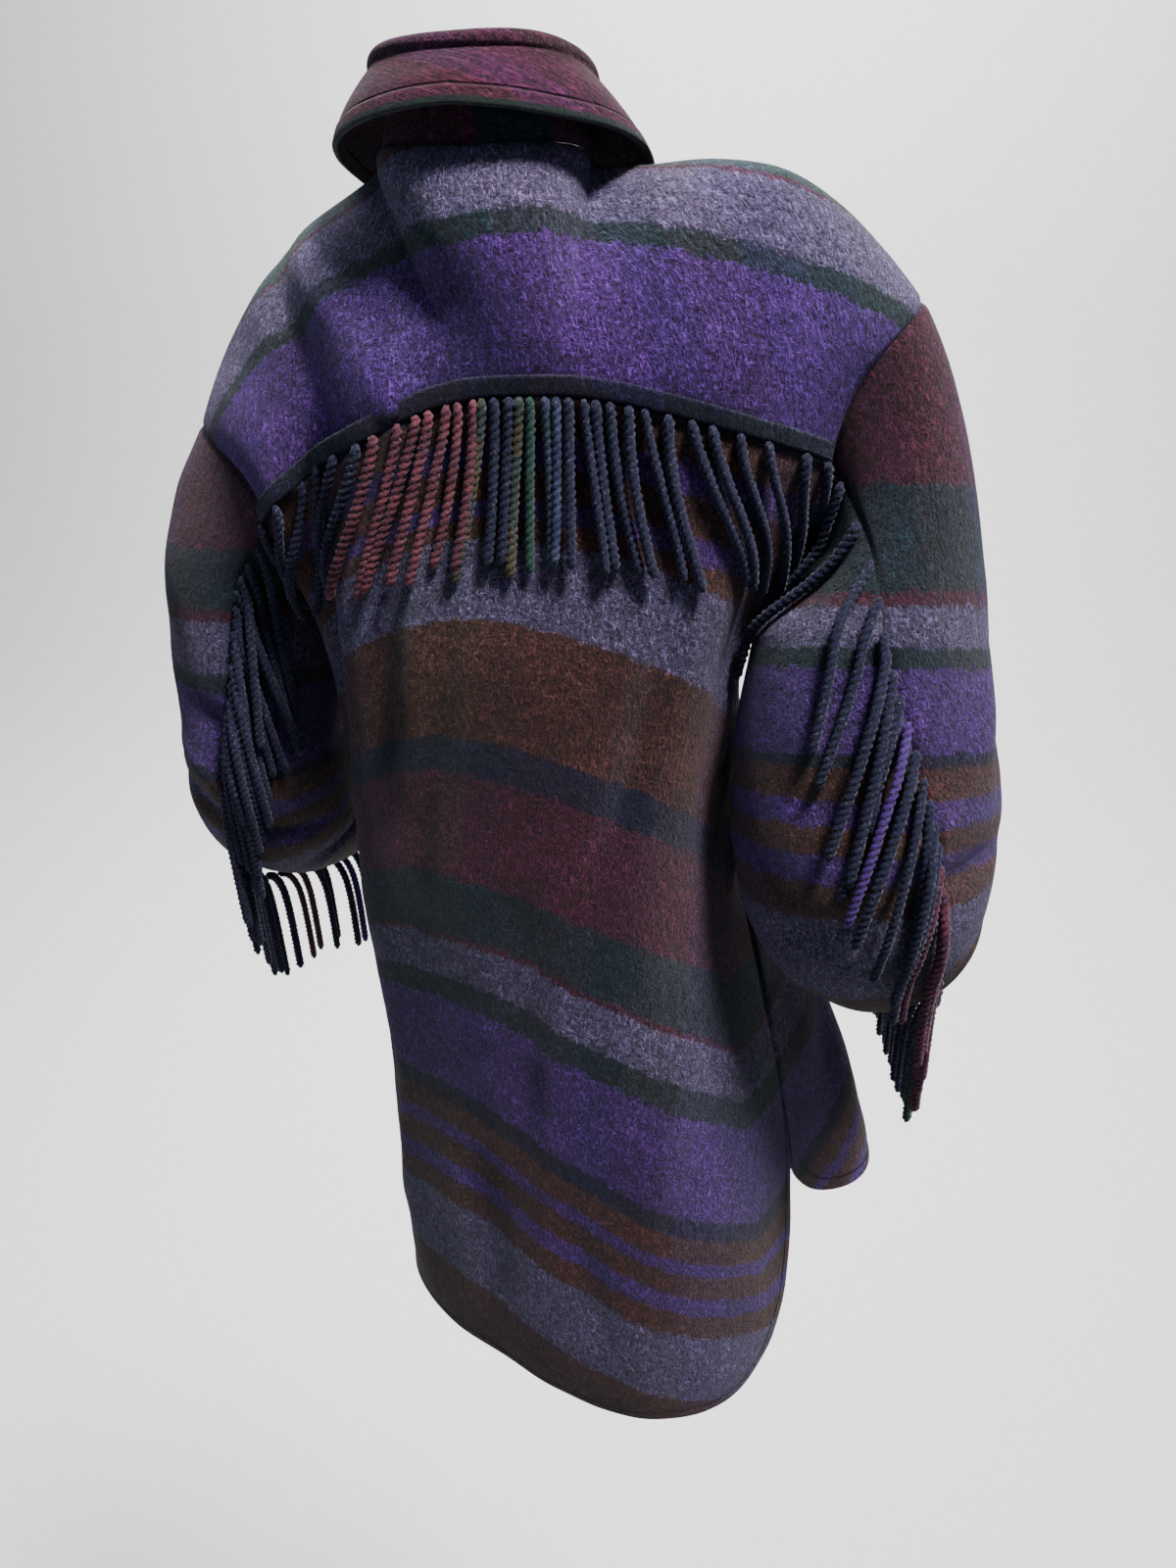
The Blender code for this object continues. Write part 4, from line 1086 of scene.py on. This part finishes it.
def yarn(name, colour, other=None):
    """Two plies twisted together; the uv tells the ply's crown from the groove."""
    finish = Finish(name, {"Roughness": 0.9, **FIBRE})
    crown = finish.laid("cloth")[1]
    place = finish.place()
    fluff = finish.grain(place, 600.0, 3.0, 0.7)
    patch = finish.grain(place, 60.0, 2.0, 0.5)
    base = colour if other is None else finish.mix(colour, other, finish.between(patch, 0.42, 0.58))
    # painted shade in the groove between the two plies, lighter on their crowns
    dark = finish.mix(base, BLACK, 0.65)
    pale = finish.mix(base, (0.30, 0.30, 0.42, 1.0), 0.30)
    shaded = finish.mix(dark, base, finish.between(crown, 0.1, 0.7))
    finish.feed("Base Color", finish.mix(shaded, pale, finish.between(fluff, 0.55, 0.75)))
    finish.bump(0.6, TWIST_HEIGHT, fluff + crown * 0.5)
    return finish.material


# ---------------------------------------------------------------- fringe
STRAND_RADIUS = 0.0033
STRAND_SIDES = 10
STRAND_STEP = 0.0024
TWIST_PITCH = 0.011
STRAND_POINTS = 14        # of a strand's path, less one
STRAND_RINGS = 8          # at least
PLY_SWELL = 0.26          # of the two plies out from round
STRAND_CLEAR = 0.0012     # of the strands, over the cloth
KEPT_CLEAR = 0.0008       # the least of that, once they are laid
SUNK = 0.03               # a strand that seems further in than this lies on another piece
LET_GO = -0.12            # how far under the arm faces, where its strands come away
SLOPE_STEP = 0.004        # metres down the back, over which its slope is measured
TURN_STEP = 2.0           # degrees, and
ALONG_STEP = 0.04         # stations, over which the sleeve's slope is measured


def strand_mesh(path, radius, phase):
    """A two-ply strand along a path: its points, faces and crown values."""
    path = np.array(path)
    steps = np.linalg.norm(np.diff(path, axis=0), axis=1)
    reach = np.concatenate([[0], np.cumsum(steps)])
    rings = max(int(reach[-1] / STRAND_STEP), STRAND_RINGS)
    at = np.linspace(0, reach[-1], rings)
    line = np.stack([np.interp(at, reach, path[:, k]) for k in range(3)], axis=1)
    ways = unit(np.gradient(line, axis=0))
    side = np.cross(ways[0], (0.31, 0.77, 0.55))
    points = []
    values = []
    turns = np.arange(STRAND_SIDES) * 2 * math.pi / STRAND_SIDES
    for i in range(rings):
        side = side - ways[i] * side.dot(ways[i])
        side = side / np.linalg.norm(side)
        other = np.cross(ways[i], side)
        twist = 2 * math.pi * at[i] / TWIST_PITCH + phase
        crown = np.cos(2 * (turns - twist))
        end = min(i / 2 + 0.35, 1.0, (rings - 1 - i) / 3 + 0.45)
        r = radius * end * (1 + PLY_SWELL * crown)
        points.append(line[i] + np.outer(r * np.cos(turns), side) + np.outer(r * np.sin(turns), other))
        values.append(np.stack([0.5 + 0.5 * crown, np.full(STRAND_SIDES, at[i])], axis=1))
    faces = []
    for i in range(rings - 1):
        for k in range(STRAND_SIDES):
            j = (k + 1) % STRAND_SIDES
            a = i * STRAND_SIDES
            faces.append((a + k, a + j, a + STRAND_SIDES + j, a + STRAND_SIDES + k))
    faces.append(tuple(range(STRAND_SIDES))[::-1])
    last = (rings - 1) * STRAND_SIDES
    faces.append(tuple(last + k for k in range(STRAND_SIDES)))
    return np.concatenate(points), faces, np.concatenate(values)


def cloth_tree(names):
    """The points of some panels, to be searched for the nearest."""
    points = np.concatenate([np.array(panels[name].points).reshape(-1, 3) for name in names])
    outward = np.concatenate([ways[name].reshape(-1, 3) for name in names])
    tree = KDTree(len(points))
    for i, point in enumerate(points):
        tree.insert(Vector(point), i)
    tree.balance()
    return tree, outward


def kept_off(path, radius, tree, outward):
    """The path, moved out wherever it would sink into the cloth."""
    kept = []
    for point in path:
        near, i, _ = tree.find(point)
        way = Vector(outward[i])
        short = radius + KEPT_CLEAR - (point - near).dot(way)
        kept.append(point + way * short if 0 < short < SUNK else point)
    return kept


def build_strands(name, strands, finish, node):
    """One piece of all the strands of a colour."""
    points = []
    faces = []
    values = []
    count = 0
    for path, radius, phase in strands:
        more, more_faces, more_values = strand_mesh(path, radius, phase)
        faces += [tuple(i + count for i in face) for face in more_faces]
        points.append(more)
        values.append(more_values)
        count += len(more)
    piece = add_piece(name, np.concatenate(points), faces, finish)
    put_uv(piece, "cloth", np.concatenate(values), faces)
    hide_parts(node)
    return piece


def outward_of(across, down):
    """The way out from the back's cloth."""
    row = TrunkRow(down, 0.0)
    right = below_point(across + 0.01, row, True) - below_point(across - 0.01, row, True)
    lower = below_point(across, TrunkRow(down + SLOPE_STEP, 0.0), True) - below_point(across, row, True)
    return right.cross(lower).normalized()


def back_strand(across, length, lean, lift, dice):
    """A strand that hangs from the yoke's hem over the back."""
    path = []
    sway = dice.uniform(-1, 1) * 0.003
    for i in range(STRAND_POINTS + 1):
        k = i / STRAND_POINTS
        down = 0.001 + length * k
        here = across + (lean * k + sway * math.sin(math.pi * k)) / PANEL_REACH
        point = below_point(here, TrunkRow(down, 0.0), True)
        off = STRAND_RADIUS + STRAND_CLEAR + lift * math.sin(math.pi * min(k * 1.3, 1) / 2)
        path.append(point + outward_of(here, down) * off)
    return path


def arm_place(side, under, angle, position):
    """A point of the under sleeve, with the steps that a degree and a whole station make."""
    def at(turn, along):
        return sleeve_point(side, armhole_between(under, turn), turn, min(along, SLEEVE_END))
    here = at(angle, position)
    per_turn = at(angle + TURN_STEP, position) - at(angle - TURN_STEP, position)
    along = max(position - ALONG_STEP, 0.0)
    per_station = (at(angle, along + 2 * ALONG_STEP) - at(angle, along)) / (2 * ALONG_STEP)
    return here, per_turn / (2 * TURN_STEP), per_station


def sleeve_strand(side, columns, position, length, lean, lift):
    """A strand from the sleeve's back seam: plumb down the arm, then free where it turns under."""
    under = columns["under"]
    angle = under[0][1]
    step = length / STRAND_POINTS
    path = []
    drop = None
    for i in range(STRAND_POINTS + 1):
        if drop is None:
            here, per_turn, per_station = arm_place(side, under, angle, position)
            out = per_station.cross(per_turn).normalized() * side
            path.append(here + out * (STRAND_RADIUS + STRAND_CLEAR + lift * smooth(i / 4)))
            way = Vector((0, 0, -1)) + per_turn.normalized() * lean
            way = (way - out * way.dot(out)).normalized()
            turn_way = per_turn.normalized()
            down_way = per_station - turn_way * per_station.dot(turn_way)
            share = way.dot(down_way.normalized()) / down_way.length
            position = min(max(position + step * share, 0.0), SLEEVE_END)
            angle += step * (way.dot(turn_way) - share * per_station.dot(turn_way)) / per_turn.length
            if i > 0 and out.z < LET_GO:
                drop = (path[-1] - path[-2]).normalized()
        else:
            drop = drop.lerp(Vector((side * SLEEVE_SWING, 0, -1)), 0.4).normalized()
            path.append(path[-1] + drop * step)
    return path


def armhole_between(ends, angle):
    """The armhole's point at an angle, between two of its own."""
    for (first, first_angle), (second, second_angle) in zip(ends, ends[1:]):
        if angle <= second_angle:
            return first.lerp(second, (angle - first_angle) / (second_angle - first_angle))
    return ends[-1][0]


# ---------------------------------------------------------------- smaller pieces
def strip_panel(rows, cloth, out, edges, flip):
    """A narrow panel that lies on the cloth: its rows moved out by the distance."""
    points = np.array([[tuple(point) for point in row] for row in rows])
    ways = unit(quad_ways(points, flip))
    moved = points + ways * out
    lifts = [[0.5 * unevenness(Vector(point)) for point in row] for row in moved]
    return Panel(moved, cloth, no_rims(moved), lifts, flip, edges), ways


BAND_LIFT = 0.0036        # of the rolled hem above the seam
BAND_RISE = 0.12          # share of the yoke, over which its rows' spacing is measured


def yoke_band():
    """The yoke's rolled hem, over the seam that joins the back."""
    columns = []
    across = [value for value in WHOLE_WIDTH if abs(value) < 1 - YOKE_BAND_INSET / PANEL_REACH]
    heights = spread(YOKE_BAND_WIDTH, 0.0, 14)
    for value in across:
        seam = upper_point(value, 0.0, True)
        above = upper_point(value, BAND_RISE, True)
        per_up = (above - seam).length / BAND_RISE
        columns.append([upper_point(value, height / per_up, True) for height in heights])
    rows = list(zip(*columns))
    reach = reach_along(rows[0])
    cloth = [[(reach[c], -height) for c in range(len(across))] for height in heights]
    return strip_panel(rows, cloth, BAND_LIFT, ALL_FREE, False)


def along_row(row, distance):
    """The point so far along a row's own straight stretches."""
    for before, after in zip(row, row[1:]):
        length = (after - before).length
        if distance <= length:
            return before.lerp(after, distance / length)
        distance -= length
    return row[-1]


def button_band(panels):
    """The straight band over the middle where the fronts meet."""
    rows = []
    cloth = []
    offsets = spread(-BAND_WIDTH / 2, BAND_WIDTH / 2, 14)
    fronts = zip(panels["front_right"].points, panels["front_left"].points, panels["front_left"].cloth)
    for right, left, left_cloth in fronts:
        rows.append([along_row(right if offset < 0 else left, abs(offset)) for offset in offsets])
        cloth.append([(offset, left_cloth[0][1]) for offset in offsets])
    return strip_panel(rows, cloth, CLOTH + BAND_CLEAR, ALL_FREE, True)


def cuff(side):
    """A band round the wrist whose last stretch laps over its start."""
    middle, outward, backward, here, way = arm_frame(side, SLEEVE_END - 1)
    rows = []
    cloth = []
    alongs = with_steps(spread(0.0, 1.0, 16), ((0.0, CUFF_LENGTH), (1.0, CUFF_LENGTH)))
    for along in alongs:
        row = []
        for turn in spread(0.0, 360.0 + CUFF_LAP, 120):
            lift = (CLOTH + 2 * SEAM_GAP) * smooth((turn - 360.0 + CUFF_LAP) / CUFF_LAP)
            a = math.radians(CUFF_START + turn)
            radius = here.out + lift - CUFF_TAPER * along + CUFF_SWELL * math.sin(math.pi * along)
            round_way = outward * math.cos(a) + backward * math.sin(a)
            row.append(middle + round_way * radius + way * (2 * SEAM_GAP + CUFF_LENGTH * along))
        rows.append(row)
        reach = reach_along(row)
        cloth.append([(reach[c], CUFF_LENGTH * along) for c in range(len(row))])
    return strip_panel(rows, cloth, 0.0, ALL_FREE, side > 0)


def pocket(side):
    """The in-seam pocket's bag, flat against the inside of the front."""
    last = 1 - POCKET_MARGIN / PANEL_REACH
    acrosses = [side * share for share in SHARES if POCKET_FROM <= share <= last]
    rows = [row for row in TRUNK_ROWS
            if POCKET_TOP <= row.down <= POCKET_TOP + POCKET_LENGTH and row.tail == 0]
    places = [[below_place(across, row, False) for across in acrosses] for row in rows]
    points = [[body_point(*spot) for spot in spots] for spots in places]
    cloth = [[(0.3 * c / len(spots), spot[1]) for c, spot in enumerate(spots)] for spots in places]
    return strip_panel(points, cloth, -CLOTH - POCKET_CLEAR - POCKET_THICK / 2, ALL_FREE, side > 0)


def lining(name):
    """Plain dark pocketing."""
    finish = Finish(name, {"Roughness": 0.8, "Specular IOR Level": 0.3})
    threads = finish.node("ShaderNodeTexWave", {"bands_direction": "DIAGONAL"},
                          {"Vector": finish.laid("cloth")[0], "Scale": 400.0, "Distortion": 1.0}, 1)
    finish.feed("Base Color", finish.mix(rgb("#1A1A22"), rgb("#24242E"), threads))
    finish.bump(0.3, 0.0005, threads)
    return finish.material


def horn(name):
    """Dark horn with paler streaks, satin."""
    finish = Finish(name, {"Coat Weight": 0.3, "Coat Roughness": 0.2})
    cloud = finish.grain(finish.turned(finish.place(), (60.0, 60.0, 260.0)), 1.0, 4.0, 0.6)
    finish.feed("Base Color", finish.mix(rgb("#241814"), rgb("#6A4A38"), finish.between(cloud, 0.45, 0.75)))
    finish.feed("Roughness", cloud * 0.2 + 0.25)
    return finish.material


def thread(name):
    finish = Finish(name, {"Roughness": 0.7})
    grain = finish.grain(finish.place(), 1500.0)
    finish.feed("Base Color", finish.mix(rgb("#15152C"), rgb("#34345C"), grain))
    return finish.material


def model_button():
    """One dished, four-hole button with its thread, at the origin, facing up."""
    bpy.ops.object.select_all(action="DESELECT")
    bpy.ops.mesh.primitive_cylinder_add(vertices=48, radius=BUTTON_DIAMETER / 2, depth=BUTTON_THICK)
    button = bpy.context.object
    bpy.ops.object.mode_set(mode="EDIT")
    bpy.ops.mesh.select_all(action="DESELECT")
    bpy.ops.object.mode_set(mode="OBJECT")
    for face in button.data.polygons:
        face.select = face.normal.z > 0.9
    bpy.ops.object.mode_set(mode="EDIT")
    bpy.ops.mesh.select_mode(type="FACE")
    bpy.ops.mesh.inset(thickness=0.0012)
    bpy.ops.mesh.inset(thickness=0.0012)
    bpy.ops.transform.translate(value=(0, 0, -0.0008))
    bpy.ops.mesh.inset(thickness=0.0022)
    bpy.ops.transform.translate(value=(0, 0, -0.0002))
    bpy.ops.object.mode_set(mode="OBJECT")
    bevel = button.modifiers.new("edge", "BEVEL")
    bevel.width = 0.0006
    bevel.segments = 3
    bevel.limit_method = "ANGLE"
    bpy.ops.object.modifier_apply(modifier=bevel.name)
    bpy.ops.object.shade_smooth_by_angle(angle=math.radians(40))
    button.data.materials.append(HORN_FINISH)
    floor_height = BUTTON_THICK / 2 - 0.0010
    extras = []
    for x in (-0.0016, 0.0016):
        for y in (-0.0016, 0.0016):
            bpy.ops.mesh.primitive_cylinder_add(vertices=16, radius=0.0009, depth=0.0008,
                                                location=(x, y, floor_height - 0.0002))
            bpy.context.object.data.materials.append(THREAD_FINISH)
            extras.append(bpy.context.object)
        bpy.ops.mesh.primitive_uv_sphere_add(segments=12, ring_count=8, radius=0.0009,
                                             location=(x, 0, floor_height + 0.0002), scale=(0.7, 2.2, 0.7))
        bpy.ops.object.shade_smooth()
        bpy.context.object.data.materials.append(THREAD_FINISH)
        extras.append(bpy.context.object)
    bpy.ops.object.select_all(action="DESELECT")
    for piece in extras + [button]:
        piece.select_set(True)
    bpy.context.view_layer.objects.active = button
    bpy.ops.object.transform_apply(location=True, rotation=True, scale=True)
    bpy.ops.object.join()
    return button


def place_button(model, node, panel, ways):
    """A copy of the button at its node, square to the nearest cloth."""
    low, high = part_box(node)
    middle = [(a + b) / 2 for a, b in zip(low, high)]
    gaps = np.linalg.norm(np.asarray(panel.points) - np.array(middle), axis=-1)
    r, c = np.unravel_index(np.argmin(gaps), gaps.shape)
    turn = Vector(ways[r, c]).to_track_quat("Z", "Y").to_matrix().to_4x4()
    turn.translation = middle
    piece = bpy.data.objects.new(node + "_look", model.data.copy())
    piece.data.transform(turn)
    bpy.context.scene.collection.objects.link(piece)
    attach(piece, "root")
    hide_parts(node)


# ---------------------------------------------------------------- make it
EDGE_GREEN = rgb("#16221F")
PAINTED_SHADE_OFF_YOKE = 0.66       # painted shade: the share of its colour kept by a panel that hangs below the yoke, or a sleeve, as less light falls there than on the yoke
WOOLS = {
    "back": wool("wool_back", BACK_STRIPES, shade=PAINTED_SHADE_OFF_YOKE),
    "back_yoke": wool("wool_yoke", YOKE_STRIPES),
    "front_left": wool("wool_front_left", FRONT_STRIPES, shade=PAINTED_SHADE_OFF_YOKE),
    "front_right": wool("wool_front_right", FRONT_STRIPES, shade=PAINTED_SHADE_OFF_YOKE),
    "sleeve_top_left": wool("wool_sleeve_top_left", SLEEVE_STRIPES_LEFT, shade=PAINTED_SHADE_OFF_YOKE),
    "sleeve_under_left": wool("wool_sleeve_under_left", SLEEVE_STRIPES_LEFT, shade=PAINTED_SHADE_OFF_YOKE),
    "sleeve_top_right": wool("wool_sleeve_top_right", SLEEVE_STRIPES_RIGHT, shade=PAINTED_SHADE_OFF_YOKE),
    "sleeve_under_right": wool("wool_sleeve_under_right", SLEEVE_STRIPES_RIGHT, shade=PAINTED_SHADE_OFF_YOKE),
    "collar_stand": wool("wool_stand", STAND_STRIPES),
}
FALL_WOOL = wool("wool_fall", FALL_STRIPES, 0.05, EDGE_GREEN)
NAVY_WOOL = wool("wool_navy", NAVY_CLOTH)
POCKETING = lining("pocketing")
HORN_FINISH = horn("horn")
THREAD_FINISH = thread("button_thread")
YARNS = {
    "navy": yarn("yarn_navy", rgb("#14152E")),
    "brick": yarn("yarn_brick", BRICK, rgb("#4C2430")),
    "ochre": yarn("yarn_ochre", rgb("#3C3622"), rgb("#22302C")),
    "green": yarn("yarn_green", rgb("#17342C")),
    "sea": yarn("yarn_sea", rgb("#1A3034"), rgb("#262C44")),
    "slate": yarn("yarn_slate", rgb("#2E3450"), rgb("#1A1E3A")),
    "plum": yarn("yarn_plum", rgb("#3E2264")),
    "burgundy": yarn("yarn_burgundy", rgb("#4C1E30"), rgb("#3A182C")),
}

panels = trunk_panels()
for word, side in SIDES:
    for part, columns in sleeve_columns(side).items():
        panels[f"sleeve_{part}_{word}"] = sleeve_panel(side, columns)
panels["collar_stand"] = stand_panel()
ways = shared_ways(panels)
looks = {name: build_shell(name, panel, ways[name], CLOTH, WOOLS[name]) for name, panel in panels.items()}


def add_panel(name, made, finish, thickness=CLOTH):
    """A panel that is sewn on, with its ways, and its shell."""
    panels[name], ways[name] = made
    looks[name] = build_shell(name, panels[name], ways[name], thickness, finish)


fall = fall_panel()
add_panel("collar_fall", (fall, unit(quad_ways(np.array(fall.points), False))), FALL_WOOL)
add_panel("yoke_band", yoke_band(), NAVY_WOOL)
add_panel("button_band", button_band(panels), WOOLS["front_left"])
for word, side in SIDES:
    add_panel(f"cuff_{word}", cuff(side), NAVY_WOOL)
    add_panel(f"pocket_{word}", pocket(side), POCKETING, POCKET_THICK)

button_model = model_button()
for i in range(FRONT_BUTTONS):
    place_button(button_model, f"button_front_{i + 1}", panels["button_band"], ways["button_band"])
for word, side in SIDES:
    place_button(button_model, f"button_cuff_{word}", panels[f"cuff_{word}"], ways[f"cuff_{word}"])
bpy.data.objects.remove(button_model, do_unlink=True)

# The yoke's strands from the wearer's left to their right: how many of each colour.
BACK_STRAND_RUNS = (("navy", 6), ("brick", 7), ("ochre", 1), ("navy", 2), ("ochre", 1), ("green", 1),
                    ("sea", 1), ("slate", 1), ("navy", 13))
SLEEVE_STRAND_LEAN = {1: 0.00, -1: 0.14}    # towards the body, as a share of their drop
SLEEVE_STRAND_RUNS = {
    1: (("navy", 26), ("burgundy", 2), ("navy", 3), ("plum", 1), ("navy", 4)),
    -1: (("navy", 8), ("plum", 1), ("navy", 5), ("burgundy", 7), ("green", 1), ("slate", 1), ("navy", 13)),
}


def in_order(runs):
    return [colour for colour, count in runs for _ in range(count)]


BACK_STRAND_SHARE = 0.90  # of the fringe's length, on the yoke
SLEEVE_STRAND_SHARE = 1.12


def build_fringes():
    """Every strand, in one piece for each colour of each fringe."""
    dice = random.Random(7)
    made = {}
    cloth = cloth_tree(("back", "sleeve_under_left", "sleeve_under_right"))

    def grow(node, runs, strand, widest):
        """A fringe of strands, each from its share of the way along the seam."""
        colours = in_order(runs)
        groups = defaultdict(list)
        for i, colour in enumerate(colours):
            path = strand(i / (len(colours) - 1))
            radius = STRAND_RADIUS * dice.uniform(0.9, widest)
            groups[colour].append((kept_off(path, radius, *cloth), radius, dice.uniform(0, 6)))
        made[node] = [build_strands(f"{node}_{colour}", strands, YARNS[colour], node)
                      for colour, strands in groups.items()]

    def down_back(k):
        across = 0.965 - 1.93 * k + dice.uniform(-0.012, 0.012)
        return back_strand(across, BACK_STRAND_SHARE * FRINGE_LENGTH + dice.uniform(-0.007, 0.006),
                           dice.uniform(-0.010, 0.010), dice.uniform(0.0, 0.004), dice)

    grow("fringe_back", BACK_STRAND_RUNS, down_back, 1.12)
    for word, side in SIDES:
        columns = sleeve_columns(side)

        def down_arm(k):
            length = SLEEVE_STRAND_SHARE * FRINGE_LENGTH + dice.uniform(-0.012, 0.008)
            lean = SLEEVE_STRAND_LEAN[side] + dice.uniform(-0.15, 0.15)
            lift = dice.uniform(0.0, 0.009)
            return sleeve_strand(side, columns, 0.12 + 5.2 * k ** 0.85, length, lean, lift)

        grow(f"fringe_sleeve_{word}", SLEEVE_STRAND_RUNS[side], down_arm, 1.1)
    return made


fringes = build_fringes()
DOUBLED = ("band", "cuff", "collar", "pocket")     # in the names of pieces that are folded double
for name, panel in panels.items():
    held = "folded" if any(word in name for word in DOUBLED) else "hung"
    name == "back_yoke"

# ---------------------------------------------------------------- room, light and camera
FLOOR_HEIGHT = -3.80
FLOOR_BACK = 9.0          # metres behind the wearer, where the floor ends
FLOOR_SIDES = (-14.0, 14.0)
SWEEP_FROM = 5.0          # metres in front of the wearer, where the floor begins to rise
SWEEP_RADIUS = 2.5


def build_room():
    """A pale floor that sweeps up far behind the jacket."""
    profile = [(FLOOR_BACK, FLOOR_HEIGHT), (-SWEEP_FROM, FLOOR_HEIGHT)]
    for turn in spread(0.0, 90.0, 24)[1:]:
        a = math.radians(turn)
        forward, rise = math.sin(a), 1 - math.cos(a)
        profile.append((-SWEEP_FROM - SWEEP_RADIUS * forward, FLOOR_HEIGHT + SWEEP_RADIUS * rise))
    profile.append((-SWEEP_FROM - SWEEP_RADIUS, 8.0))
    points = [(x, y, z) for y, z in profile for x in FLOOR_SIDES]
    faces = [(2 * i, 2 * i + 1, 2 * i + 3, 2 * i + 2) for i in range(len(profile) - 1)]
    mesh = bpy.data.meshes.new("floor")
    mesh.from_pydata(points, [], faces)
    for face in mesh.polygons:
        face.use_smooth = True
    floor = bpy.data.objects.new("floor", mesh)
    bpy.context.scene.collection.objects.link(floor)
    finish = Finish("floor", {"Roughness": 0.95})
    cloud = finish.grain(finish.place(), 0.4)
    finish.feed("Base Color", finish.mix(rgb("#EEEEEC"), rgb("#F2F2F0"), cloud))
    floor.data.materials.append(finish.material)


def add_light(name, place, aim, size, power, colour):
    data = bpy.data.lights.new(name, "AREA")
    data.size = size
    data.energy = power
    data.color = colour
    light = bpy.data.objects.new(name, data)
    bpy.context.scene.collection.objects.link(light)
    light.location = place
    light.rotation_euler = (Vector(aim) - Vector(place)).to_track_quat("-Z", "Y").to_euler()


def add_camera():
    """The photograph's own viewing place, close behind and above."""
    azimuth, pitch, roll = (math.radians(value) for value in (191.01, 32.581, -2.356))
    level = math.cos(pitch)
    back = Vector((math.sin(azimuth) * level, -math.cos(azimuth) * level, math.sin(pitch)))
    right = Vector((0, 0, 1)).cross(back).normalized()
    up = back.cross(right)
    turned_right = right * math.cos(roll) + up * math.sin(roll)
    turned_up = up * math.cos(roll) - right * math.sin(roll)
    data = bpy.data.cameras.new("camera")
    data.sensor_fit = "VERTICAL"
    data.sensor_height = 36.0
    data.sensor_width = 36.0
    data.lens = 1113 / 1600 * 36.0
    data.clip_start = 0.01
    camera = bpy.data.objects.new("camera", data)
    bpy.context.scene.collection.objects.link(camera)
    turn = Matrix((turned_right, turned_up, back)).transposed().to_4x4()
    turn.translation = (-0.185, 0.799, 0.025)
    camera.matrix_world = turn
    bpy.context.scene.camera = camera


build_room()
add_light("key", (-1.36, 0.38, 2.9), (-0.05, 0.0, -0.20), 0.7, 430.0, (1.0, 0.97, 0.95))
add_light("fill", (1.8, 1.4, 0.6), (0.0, 0.0, -0.4), 1.8, 3.0, (0.80, 0.88, 1.0))
add_light("wall", (0.0, -3.6, 3.4), (0.0, -7.0, -1.2), 3.0, 680.0, (1.0, 1.0, 1.0))
add_light("floor", (1.4, -2.4, 1.6), (1.2, -2.6, -3.8), 2.0, 230.0, (1.0, 1.0, 1.0))
add_light("front", (0.4, -2.4, 0.8), (0.0, 0.0, -0.4), 1.8, 16.0, (1.0, 1.0, 1.0))
world = bpy.data.worlds.new("studio")
bpy.context.scene.world = world
world.use_nodes = True
world.node_tree.nodes["Background"].inputs[0].default_value = (0.66, 0.80, 1.0, 1.0)
world.node_tree.nodes["Background"].inputs[1].default_value = 0.26
add_camera()
